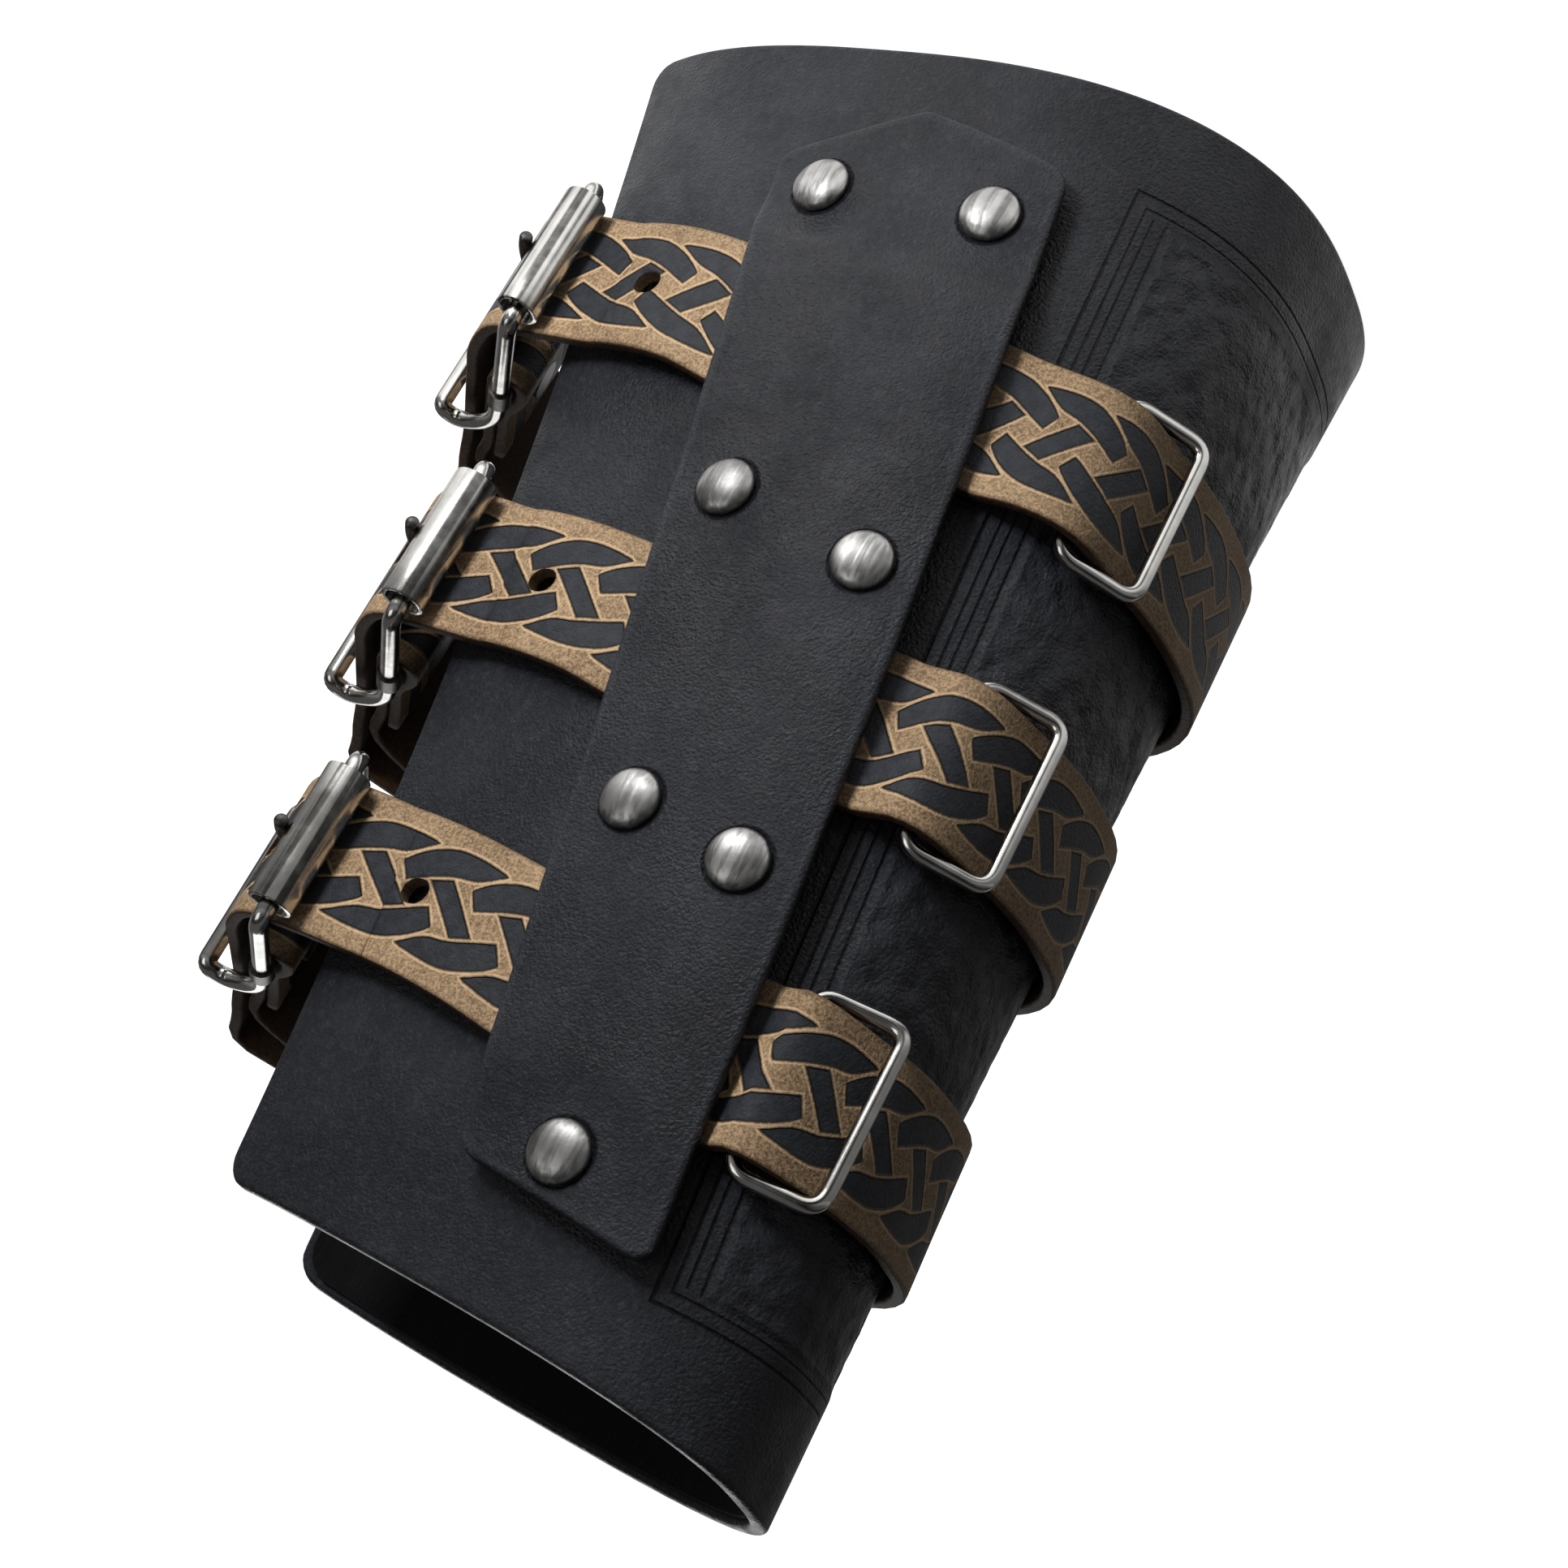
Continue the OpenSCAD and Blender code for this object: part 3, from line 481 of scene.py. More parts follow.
def new_mesh_piece(name, points, faces, uvs=None, looks=(), slots=None):
    """A piece from points in millimetres, faces and a texture place for each corner of each face."""
    mesh = bpy.data.meshes.new(name)
    mesh.from_pydata((np.asarray(points) * MM).tolist(), [], faces)
    if uvs is not None:
        layer = mesh.uv_layers.new(name="leather")
        layer.data.foreach_set("uv", np.array([c for face in uvs for c in face], dtype=np.float32).ravel())
    for look in looks:
        mesh.materials.append(look)
    if slots is not None:
        mesh.polygons.foreach_set("material_index", np.array(slots, dtype=np.int32))
    mesh.polygons.foreach_set("use_smooth", [True] * len(mesh.polygons))
    mesh.validate()
    mesh.update()
    piece = linked(name, mesh)
    turn_outwards(piece)
    return piece


def turn_outwards(piece):
    """Turns a closed piece's faces so that they point out of it."""
    bm = bmesh.new()
    bm.from_mesh(piece.data)
    if bm.calc_volume(signed=True) < 0:
        bmesh.ops.reverse_faces(bm, faces=bm.faces)
        bm.to_mesh(piece.data)
    bm.free()


def wall(name, layers, uv, looks):
    """A sheet of leather from layers of points: a face first and last, and its rounded edge between."""
    rows, columns = layers[0].shape[:2]
    rim = [(0, j) for j in range(columns)] + [(i, columns - 1) for i in range(1, rows)]
    rim += [(rows - 1, j) for j in range(columns - 2, -1, -1)] + [(i, 0) for i in range(rows - 2, 0, -1)]
    ri, rj = np.array([r[0] for r in rim]), np.array([r[1] for r in rim])
    points = [layers[0].reshape(-1, 3)]
    points += [layer[ri, rj] for layer in layers[1:-1]]
    points.append(layers[-1].reshape(-1, 3))
    face_count = rows * columns
    loops = [ri * columns + rj]
    for k in range(len(layers) - 2):
        loops.append(face_count + k * len(rim) + np.arange(len(rim)))
    last = face_count + (len(layers) - 2) * len(rim)
    loops.append(last + ri * columns + rj)
    places = np.stack(uv, axis=-1)
    faces, uvs, slots = [], [], []

    def add(corners, at, slot):
        faces.append(corners)
        uvs.append([places[a] for a in at])
        slots.append(slot)

    for i in range(rows - 1):
        for j in range(columns - 1):
            at = [(i, j), (i, j + 1), (i + 1, j + 1), (i + 1, j)]
            add([a * columns + b for a, b in at], at, 0)
            at = at[::-1]
            add([last + a * columns + b for a, b in at], at, min(1, len(looks) - 1))
    for k in range(len(loops) - 1):
        for m in range(len(rim)):
            n = (m + 1) % len(rim)
            at = [rim[m], rim[n], rim[n], rim[m]][::-1]
            add([loops[k][m], loops[k][n], loops[k + 1][n], loops[k + 1][m]][::-1], at, 0)
    return new_mesh_piece(name, np.concatenate(points), faces, uvs, looks, slots)


def ring_faces(rings, sides, closed=False):
    """Faces between rings of points that follow each other."""
    faces = []
    for k in range(rings if closed else rings - 1):
        n = (k + 1) % rings
        for j in range(sides):
            m = (j + 1) % sides
            faces.append([k * sides + j, k * sides + m, n * sides + m, n * sides + j])
    return faces


def end_faces(rings, sides):
    return [list(range(sides))[::-1], [(rings - 1) * sides + j for j in range(sides)]]


def turned(profiles, turns):
    """Points and faces all the way round, from a profile of radius and height for each turn."""
    points = [(r * math.cos(g), r * math.sin(g), z)
              for profile, g in zip(profiles, turns) for r, z in profile]
    return points, [[a, d, c, b] for a, b, c, d in ring_faces(len(turns), len(profiles[0]), True)]


def tube(path, r, closed=False, sides=20, caps=3):
    """Points and faces of a round wire along a path, with rounded ends where it is open."""
    path = np.asarray(path, float)
    spots, radii = list(path), [r] * len(path)
    if not closed:
        first, last = unit(path[0] - path[1]), unit(path[-1] - path[-2])
        ends = [(math.sin(a), math.cos(a)) for a in np.radians(np.linspace(0, 84, caps + 1)[1:])]
        spots = [path[0] + first * r * 0.5 * s for s, c in ends[::-1]] + spots
        radii = [r * c for s, c in ends[::-1]] + radii
        spots += [path[-1] + last * r * 0.5 * s for s, c in ends]
        radii += [r * c for s, c in ends]
    count = len(spots)
    points, side = [], None
    for k in range(count):
        a = spots[(k - 1) % count] if closed else spots[max(0, k - 1)]
        b = spots[(k + 1) % count] if closed else spots[min(count - 1, k + 1)]
        t = unit(b - a)
        if side is None:
            side = unit(np.cross(t, [0.3, 0.2, 1.0] if abs(t[2]) < 0.9 else [1, 0, 0]))
        side = unit(side - t * side.dot(t))
        up = np.cross(t, side)
        for j in range(sides):
            g = 2 * math.pi * j / sides
            points.append(spots[k] + radii[k] * (side * math.cos(g) + up * math.sin(g)))
    faces = ring_faces(count, sides, closed)
    return points, faces if closed else faces + end_faces(count, sides)


def gather(parts):
    """Joins lists of points and faces."""
    points, faces = [], []
    for p, f in parts:
        start = len(points)
        points += list(p)
        faces += [[start + c for c in face] for face in f]
    return points, faces


def rounded_path(corners, radius, steps=6, closed=False):
    """A path through corners, each turned with a radius."""
    c = [np.asarray(p, float) for p in corners]
    made = []
    for k in range(len(c)):
        if not closed and k in (0, len(c) - 1):
            made.append(c[k])
            continue
        a, b = c[k - 1], c[(k + 1) % len(c)]
        u, v = unit(a - c[k]), unit(b - c[k])
        reach = min(radius, 0.48 * np.linalg.norm(a - c[k]), 0.48 * np.linalg.norm(b - c[k]))
        p, q = c[k] + u * reach, c[k] + v * reach
        for s in np.linspace(0, 1, steps + 1):
            made.append((1 - s) ** 2 * p + 2 * s * (1 - s) * c[k] + s * s * q)
    return np.array(made)


def mark_around(piece, way):
    """Stores on a wire how much each point of it faces one way."""
    mesh = piece.data
    normals = np.zeros(len(mesh.vertices) * 3, dtype=np.float32)
    mesh.vertex_normals.foreach_get("vector", normals)
    around = mesh.attributes.new("around", "FLOAT", "POINT")
    around.data.foreach_set("value", (normals.reshape(-1, 3) @ unit(way)).astype(np.float32))


def ride_on(piece, body, slot, *nodes):
    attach(piece, body)
    if nodes:
        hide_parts(*nodes)


# Shader maths

class Ink:
    """A number that varies over the surface. Sums on it become nodes."""

    def __init__(self, tree, socket):
        self.tree = tree
        self.socket = socket

    def math(self, operation, *others):
        values = dict(enumerate((self, *others)))
        return Ink(self.tree, self.tree.node("ShaderNodeMath", {"operation": operation}, values).outputs[0])

    def __add__(self, other):
        return self.math("ADD", other)

    def __sub__(self, other):
        return self.math("SUBTRACT", other)

    def __rsub__(self, other):
        return (self * -1) + other

    def __mul__(self, other):
        return self.math("MULTIPLY", other)

    def __neg__(self):
        return self * -1

    def __abs__(self):
        return self.math("ABSOLUTE")

    def least(self, other):
        return self.math("MINIMUM", other)

    def most(self, other):
        return self.math("MAXIMUM", other)

    def wrap(self, top):
        return self.math("WRAP", top, 0.0)

    def step(self, low, high, start=0.0, end=1.0):
        """Start below low, end above high, and smooth between them."""
        values = {"Value": self, "From Min": low, "From Max": high, "To Min": start, "To Max": end}
        node = self.tree.node("ShaderNodeMapRange", {"interpolation_type": "SMOOTHSTEP"}, values)
        return Ink(self.tree, node.outputs["Result"])

    def line(self, at, width):
        """1 on a line at that value, fading out to each side."""
        return 1 - abs(self - at).step(0.0, width)


class Tree:
    """The nodes of a material, a world or a geometry group."""

    def __init__(self, tree):
        self.tree = tree
        tree.nodes.clear()

    def node(self, kind, settings=None, values=None):
        node = self.tree.nodes.new(kind)
        for key, value in (settings or {}).items():
            setattr(node, key, value)
        for key, value in (values or {}).items():
            socket = node.inputs[key]
            if isinstance(value, Ink):
                value = value.socket
            if isinstance(value, bpy.types.NodeSocket):
                self.tree.links.new(value, socket)
            else:
                socket.default_value = value
        return node

    def number(self, socket):
        return Ink(self, socket)

    def parts(self, vector):
        """The three numbers of a vector."""
        return [Ink(self, out) for out in self.node("ShaderNodeSeparateXYZ", None, {0: vector}).outputs]

    def distance(self, a, b):
        return Ink(self, self.node(
            "ShaderNodeVectorMath", {"operation": "DISTANCE"}, {0: a, 1: b}).outputs["Value"])


class Finish(Tree):
    """A material, built from nodes."""

    def __init__(self, name):
        self.material = bpy.data.materials.new(name)
        self.material.use_nodes = True
        super().__init__(self.material.node_tree)
        self.place = self.node("ShaderNodeTexCoord").outputs["Object"]

    def stretched(self, *scale):
        return self.node("ShaderNodeMapping", None, {"Vector": self.place, "Scale": scale}).outputs[0]

    def noise(self, scale, detail=3.0, rough=0.55, place=None):
        return self.number(self.node("ShaderNodeTexNoise", None, {
            "Vector": place or self.place, "Scale": scale, "Detail": detail, "Roughness": rough}).outputs[0])

    def cells(self, scale, feature="DISTANCE_TO_EDGE", place=None):
        node = self.node("ShaderNodeTexVoronoi", {"feature": feature}, {
            "Vector": place or self.place, "Scale": scale})
        return self.number(node.outputs["Distance"])

    def along(self):
        """The piece's own texture place, as two numbers."""
        return self.parts(self.node("ShaderNodeUVMap", {"uv_map": "leather"}).outputs[0])[:2]

    def away(self, spots):
        """The distance to the nearest of some points, in millimetres."""
        nearest = None
        for spot in spots:
            far = self.distance(self.place, [v * MM for v in spot])
            nearest = far if nearest is None else nearest.least(far)
        return nearest * 1000.0

    def blend(self, share, a, b):
        """A colour between a and b."""
        values = {0: share}
        for key, colour in ((6, a), (7, b)):
            values[key] = colour if isinstance(colour, bpy.types.NodeSocket) else (*colour, 1)
        return self.node("ShaderNodeMix", {"data_type": "RGBA"}, values).outputs[2]

    def curve(self, share, stops, top):
        """A smooth curve through stops, for a share from 0 to 1, times top."""
        node = self.node("ShaderNodeFloatCurve", None, {"Value": share})
        points = node.mapping.curves[0].points
        points[0].location = (stops[0][0], stops[0][1] / top)
        points[1].location = (stops[-1][0], stops[-1][1] / top)
        for x, y in stops[1:-1]:
            points.new(x, y / top)
        node.mapping.update()
        return self.number(node.outputs[0]) * top

    def bumped(self, *layers):
        """A normal from several heights, each with its depth in metres."""
        normal = None
        for height, depth, strength in layers:
            values = {"Height": height, "Distance": depth, "Strength": strength}
            if normal is not None:
                values["Normal"] = normal
            normal = self.node("ShaderNodeBump", None, values).outputs[0]
        return normal

    def finished(self, shader):
        self.node("ShaderNodeOutputMaterial", None, {"Surface": shader.outputs[0]})
        return self.material

    def shade(self, colour, rough, normal, **fixed):
        values = {"Base Color": colour, "Roughness": rough, "Normal": normal}
        values.update({key.replace("_", " "): value for key, value in fixed.items()})
        return self.finished(self.node("ShaderNodeBsdfPrincipled", None, values))


def colours():
    return bpy.context.scene.bracer_colours


def sizes():
    return bpy.context.scene.bracer_sizes


def times(colour, k):
    return tuple(v * k for v in colour)


def mixed(share, a, b):
    return share * (b - a) + a


def grain_layers(f):
    """Pores and creases of smooth cowhide."""
    warp = f.noise(130, 2)
    pores = f.cells(1700, "F1")
    creases = f.cells(1050)
    fine = f.noise(2600, 4, 0.65)
    return [(warp, 0.0006, 0.18), (creases.step(0.0, 0.2), 0.00009, 0.5),
            (pores * 0.6 + fine * 0.6, 0.00020, 0.9)]


def leather_rough(f):
    """Satin, with waxed and dull patches."""
    patches = f.noise(55, 4, 0.65).step(0.34, 0.70)
    return f.noise(420, 3).step(0.3, 0.75) * 0.10 + patches * 0.26 + 0.27


def leather_colour(f, rub):
    """Black leather whose rubbed places are greyer."""
    c = colours()
    clouds = f.noise(38, 4, 0.6).step(0.38, 0.72) * 0.6 + f.noise(15, 2, 0.5).step(0.35, 0.68) * 0.4
    speck = f.noise(1900, 2, 0.6).step(0.50, 0.78)
    mottle = f.noise(760, 3, 0.7).step(0.46, 0.74)
    share = (clouds * 0.34 + speck * 0.26 + mottle * 0.24 + rub).most(0.0).least(1.0)
    return f.blend(share, c.black_leather, c.worn_leather)


# The pressed frame: half its girth at both ends, its height, and how far inside it the panel starts
FRAME_HALF = (43.6, 27.4)
FRAME_FROM = 16.0
FRAME_RUN = 181.4
FRAME_LOW = 15.6
FRAME_HIGH = 197.2
PANEL_SIDE = 6.4
PANEL_END = 3.2
GIRTH_UV = 0.01
LEATHER_SHINE = 0.27


def frame_half(z):
    return FRAME_HALF[0] - (z - FRAME_FROM) * ((FRAME_HALF[0] - FRAME_HALF[1]) / FRAME_RUN)


def body_finish():
    """Black leather with the pressed frame and hammered panel round the bend."""
    f = Finish("black_leather_body")
    girth, height = f.along()
    height = height * 1000.0
    side = frame_half(height) - abs(girth) * (1 / GIRTH_UV)
    ends = (height - FRAME_LOW).least(FRAME_HIGH - height)
    inside = side.least(ends)
    only_side = (ends - PANEL_END).step(0.0, 0.6)
    more_lines = (side.line(3.9, 0.34) + side.line(6.1, 0.42) * 0.6) * only_side
    grooves = (inside.line(0.0, 0.42) + inside.line(2.2, 0.34) * 0.75 + more_lines * 0.85).least(1.0)
    panel = (side - PANEL_SIDE).least(ends - PANEL_END).step(0.0, 1.4)
    # Dents a few millimetres wide
    long_dents = f.stretched(1.0, 1.0, 0.85)
    dents = f.noise(270, 2, 0.5, long_dents)
    pits = f.cells(290, "SMOOTH_F1", long_dents)
    hammered = panel * (dents * 0.7 + pits * 0.9)
    # The grooves are painted darker, less rubbed and then near black: painted shade in these recesses.
    colour = leather_colour(f, grooves * -0.35 + panel * 0.08)
    colour = f.blend(grooves * 0.75, colour, (0.003, 0.003, 0.004))
    normal = f.bumped((hammered, 0.0016, 0.75), (1 - grooves, 0.0005, 0.9), (-panel, 0.0002, 0.5),
                      *grain_layers(f))
    rough = leather_rough(f) + grooves * 0.2 - panel * 0.04
    return f.shade(colour, rough, normal, Specular_IOR_Level=LEATHER_SHINE)


def placket_finish():
    """Black leather with a burnished edge, and a ring round each cap that is bumped in and painted near black
    as a painted contact shadow.
    """
    f = Finish("black_leather_placket")
    edge = 1 - (f.along()[0] * 1000.0).step(0.0, 1.3)
    past_cap = f.away([rivet_seat(*spot)[0] for spot in RIVET_SPOTS]) - 4.75
    pressed = 1 - past_cap.step(0.0, 0.8)
    colour = leather_colour(f, edge * 0.15)
    # Painted contact shadow: the ring round each cap is painted near black.
    colour = f.blend(pressed * 0.9, colour, (0.002, 0.002, 0.0025))
    normal = f.bumped((1 - pressed, 0.0006, 0.8), *grain_layers(f))
    rough = leather_rough(f) - edge * 0.06 + pressed * 0.2
    return f.shade(colour, rough, normal, Specular_IOR_Level=LEATHER_SHINE)


def inner_leather_finish():
    """Cut and inner faces of the black leather, burnished."""
    f = Finish("black_leather_inside")
    colour = leather_colour(f, f.noise(900, 2) * 0.1)
    normal = f.bumped((f.noise(900, 4, 0.7), 0.0002, 0.5))
    return f.shade(colour, f.noise(500, 2) * 0.2 + 0.45, normal, Specular_IOR_Level=0.14)


def suede_finish():
    """Black suede with a short nap that lies along the sleeve."""
    f = Finish("black_suede")
    nap = f.stretched(1.0, 1.0, 0.16)
    fibres = f.noise(2400, 4, 0.7, nap)
    clouds = f.noise(90, 3, 0.6, nap)
    c = colours().suede
    share = fibres.step(0.45, 0.8) * 0.5 + clouds.step(0.4, 0.7) * 0.35
    normal = f.bumped((clouds, 0.0006, 0.4), (fibres, 0.0003, 0.8))
    return f.shade(f.blend(share, c, times(c, 3.4)), fibres * 0.1 + 0.86, normal,
                   Specular_IOR_Level=0.12, Sheen_Weight=0.05, Sheen_Roughness=0.6)


# Edges of one outer band of the plait: the place along it, from 0 to 1, and the distance from the middle
PLAIT_OUTER = [(0.0, 3.85), (0.09, 5.3), (0.186, 6.5), (0.28, 7.4), (0.427, 8.4), (0.572, 8.75),
               (0.717, 8.75), (0.86, 8.55), (0.962, 8.25), (1.0, 7.7)]
PLAIT_INNER = [(0.0, 0.6), (0.1, 1.4), (0.186, 2.1), (0.26, 2.75), (0.33, 3.35), (0.427, 4.1), (0.548, 4.85),
               (0.644, 5.2), (0.717, 5.55), (0.813, 6.45), (0.91, 7.65), (0.962, 8.25), (1.0, 8.9)]
PLAIT_TOP = 9.6
PLAIT_START = -0.845
PLAIT_SPAN = 1.39
# The slanted bar: half its width and its slope in periods, half its reach across and that end's slope
BAR_HALF = 0.184
BAR_SLANT = 12.4
BAR_REACH = 4.58
BAR_SLOPE = 5.2


def outer_band(f, place, across):
    """How far a point is inside one outer band, in millimetres. Across is negative on the band's side."""
    share = ((place - PLAIT_START) * (1 / PLAIT_SPAN)).most(0.0).least(1.0)
    outer = f.curve(share, PLAIT_OUTER, PLAIT_TOP)
    inner = f.curve(share, PLAIT_INNER, PLAIT_TOP)
    blunt = (place - PLAIT_START) * 11.5 - (across + 4.0) * 0.57
    return (across + outer).least(-inner - across).least(blunt)


def cross_bar(place, across):
    """The same for the slanted bar in the middle."""
    slant = across * (1 / BAR_SLANT)
    left = (place + BAR_HALF - slant) * 9.2
    right = (BAR_HALF - place + slant) * 9.2
    top = (across + BAR_REACH + place * BAR_SLOPE) * 0.93
    foot = (BAR_REACH - across - place * BAR_SLOPE) * 0.93
    return left.least(right).least(top).least(foot)


def plait_inside(f, phase, across):
    """How far a point is inside the plait's bands. Each period has a bar, and an outer band on both sides."""
    inside = cross_bar((phase + 0.5).wrap(1.0) - 0.5, across)
    for turn in (1, -1):
        place = (phase * turn - PLAIT_START).wrap(1.0) + PLAIT_START
        for copy in (0.0, 1.0):
            inside = inside.most(outer_band(f, place + copy, across * turn))
    return inside


def strap_finish(name, mirrored=False):
    """Tan leather with a pressed plait, stained dark in its bands."""
    f = Finish(name)
    c = colours()
    phase, across = f.along()
    from_middle = across * STRAP_W - STRAP_W / 2
    inside = plait_inside(f, -phase if mirrored else phase, from_middle) + sizes().plait_spread * 1000
    dark = inside.step(-0.06, 0.12)
    edge = 1 - (STRAP_W / 2 - abs(from_middle)).step(0.0, 0.9)
    speck = f.noise(2300, 3, 0.7).step(0.42, 0.60)
    spots = f.cells(1100, "F1").step(0.1, 0.7)
    clouds = f.noise(70, 3).step(0.3, 0.75)
    tone = (speck * 0.55 + spots * 0.2 + clouds * 0.25).least(1.0)
    tan = f.blend(tone, c.dark_tan, c.tan)
    # A painted highlight on the ridges just outside the bands.
    tan = f.blend(inside.line(-0.46, 0.28) * 0.6, tan, times(c.tan, 1.5))
    tan = f.blend(edge * 0.55, tan, c.strap_edge)
    stained = f.blend(f.noise(600, 3, 0.6).step(0.3, 0.8), times(c.plait, 0.75), times(c.plait, 1.5))
    colour = f.blend(dark, tan, stained)
    # Near black along each band's border: the carved line's own dark colour, and painted shade in it.
    colour = f.blend(inside.line(0.02, 0.34), colour, (0.004, 0.0035, 0.0035))
    normal = f.bumped((1 - dark, 0.00045, 0.8), (f.noise(1900, 4, 0.7), 0.00014, 0.7),
                      (f.cells(1100).step(0.0, 0.2), 0.0001, 0.3))
    return f.shade(colour, mixed(dark, 0.58, 0.50) + speck * 0.06, normal, Specular_IOR_Level=0.3)


def strap_side_finish():
    """The straps' cut edges and flesh side: dark brown fibres."""
    f = Finish("strap_edge_and_flesh")
    c = colours().strap_edge
    fibre = f.noise(1300, 4, 0.7, f.stretched(1.0, 1.0, 2.2))
    colour = f.blend(fibre.step(0.35, 0.7), times(c, 0.55), times(c, 1.5))
    return f.shade(colour, fibre * 0.15 + 0.62, f.bumped((fibre, 0.0003, 0.6)), Specular_IOR_Level=0.25)


def polished_finish(name, rough=0.12, scratch=0.5, painted_streaks=0.0, painted_reflection_and_shade=0.0):
    """Nickel plate with fine scratches and haze; a roller gets painted reflection streaking along it, and a
    wire a painted dark reflection line with painted shade on its far side.
    """
    f = Finish(name)
    tint = colours().polished_nickel
    haze = f.noise(260, 3, 0.6)
    hair = f.noise(1800, 3, 0.7, f.stretched(1.0, 1.0, 0.12))
    # Painted reflection: long light and dark bands along a roller, standing in for what its polish reflects.
    drawn = f.noise(600, 2, 0.5, f.stretched(1.0, 1.0, 0.012)).step(0.42, 0.56)
    share = haze.step(0.3, 0.8) * 0.25 + 0.75 - (1 - drawn) * painted_streaks
    # Painted reflection and painted shade on a wire: a dark line where it faces near its way, and darker
    # where it faces away.
    if painted_reflection_and_shade:
        around = f.number(f.node("ShaderNodeAttribute", {"attribute_name": "around"}).outputs["Fac"])
        share = share - around.line(0.80, 0.13) * painted_reflection_and_shade - (1 - around.step(0.0, 0.45)) * painted_reflection_and_shade * 0.6
    normal = f.bumped((hair, 0.00002, 0.25 * scratch), (haze, 0.0002, 0.06))
    rough = hair * 0.12 * scratch + haze * 0.08 + rough
    return f.shade(f.blend(share, times(tint, 0.12), tint), rough, normal, Metallic=1.0)


def brushed_finish():
    """Rivet caps: satin nickel, tumbled, with dull spots and long light and dark streaking, which is brushing
    and a painted highlight.
    """
    f = Finish("brushed_nickel_rivets")
    tint = colours().brushed_nickel
    fine = f.noise(2600, 4, 0.7)
    spots = f.noise(420, 3, 0.6).step(0.35, 0.75)
    # Long streaks along each cap: brushing, and a painted highlight.
    brushing_and_highlight = f.noise(700, 2, 0.6, f.stretched(1.0, 1.0, 0.04)).step(0.40, 0.62)
    colour = f.blend(spots * 0.3 + brushing_and_highlight * 0.7, times(tint, 0.38), tint)
    normal = f.bumped((fine, 0.00004, 0.5), (brushing_and_highlight, 0.00006, 0.3))
    return f.shade(colour, fine * 0.14 + spots * -0.05 + 0.33, normal, Metallic=1.0)


def dark_steel_finish(name):
    """Dull dark steel of the pins and bars."""
    f = Finish(name)
    tint = colours().dark_steel
    fine = f.noise(1500, 4, 0.7)
    colour = f.blend(fine.step(0.3, 0.7), times(tint, 0.5), times(tint, 1.4))
    return f.shade(colour, fine * 0.2 + 0.32, f.bumped((fine, 0.00006, 0.5)), Metallic=1.0)


# Body and lining

def girth_from_bend(angles, z):
    """How far along the section each angle is from the bend at -180 degrees, in millimetres."""
    fine = np.linspace(-20, -345, 1301)
    p = skin(fine, z)
    steps = np.concatenate([[0], np.cumsum(np.linalg.norm(np.diff(p, axis=0), axis=1))])
    return np.interp(-np.asarray(angles), -fine, steps) - np.interp(180, -fine, steps)


def body_layer(off, inset, rows, columns):
    """Points of a layer of the body, with the same meaning of rows and columns at any offset."""
    v = np.asarray(rows)[:, None]
    share = np.asarray(columns)[None, :]
    from_rim = np.minimum(v, 1 - v) * (LENGTH - 2 * inset)
    draw = corner_draw(FLAP_CORNER, from_rim) + inset
    degrees = 180 / math.pi / HALF_WIDTH[1]
    start = front_edge(v) - draw * degrees
    end = BACK_EDGE - 360 + draw * degrees
    angle = mix(start, end, share)
    z = mix(inset, rim_z(angle, inset), v)
    return skin(angle, z, off), angle, z


def rounded_rim(low, high, r, inset, degrees):
    """Offset and inset of each layer round an edge, from the outer face to the inner one."""
    turns = np.radians(degrees)
    return ([(high - r + r * math.cos(a), inset + r - r * math.sin(a)) for a in turns]
            + [(low + r - r * math.cos(a), inset + r - r * math.sin(a)) for a in turns[::-1]])


def layered(low, high, round_r, inset, rows, columns):
    """The faces of the body or lining, and the rounded rim between them."""
    r = min(round_r, (high - low) / 2 - 0.05)
    rim = rounded_rim(low, high, r, inset, [0, 18, 36, 54, 72, 90])
    return [body_layer(off, drawn, rows, columns)[0] for off, drawn in rim]


def dense_steps(count, edge):
    """Shares from 0 to 1, closer together near both ends."""
    ends = np.array([0, 0.35, 0.9, 1.7, 2.8]) * edge
    return np.concatenate([ends, np.linspace(ends[-1] + edge, 1 - ends[-1] - edge, count), 1 - ends[::-1]])


class BRACER_OT_body(bpy.types.Operator):
    """Make the rolled leather body with its pressed frame and hammered panel"""
    bl_idname = "bracer.body"
    bl_label = "Leather body"

    def execute(self, context):
        s = sizes()
        round_r = s.edge_round * 1000
        rows, columns = dense_steps(140, 0.004), dense_steps(236, 0.0025)
        layers = layered(-LEATHER, 0.0, round_r, 0.0, rows, columns)
        points, angle, z = body_layer(0.0, round_r, rows, columns)
        girth = np.stack([girth_from_bend(a, float(h[len(h) // 2])) for a, h in zip(angle, z)])
        # The panel is pressed in and dented
        ends = np.minimum(z - (FRAME_LOW + PANEL_END), FRAME_HIGH - PANEL_END - z)
        inside = np.minimum(frame_half(z) - np.abs(girth) - PANEL_SIDE, ends)
        dents = np.sin(girth * 1.9 + 2.1 * np.sin(z * 0.61)) * np.sin(z * 1.43 + 1.7 * np.sin(girth * 0.8))
        sunk = smooth(inside / 1.6) * s.panel_depth * 1000 * (1 + 0.32 * dents)
        way = section_normal(points[..., 0] - middle_x(z), points[..., 1] - middle_y(z), z)
        layers[0] = points
        layers[0][..., :2] -= np.stack(way, axis=-1) * sunk[..., None]
        looks = [body_finish(), inner_leather_finish()]
        piece = wall("body_leather", layers, (girth * GIRTH_UV, z * MM), looks)
        ride_on(piece, FIXED, "black_leather", "body_shell")
        return {"FINISHED"}


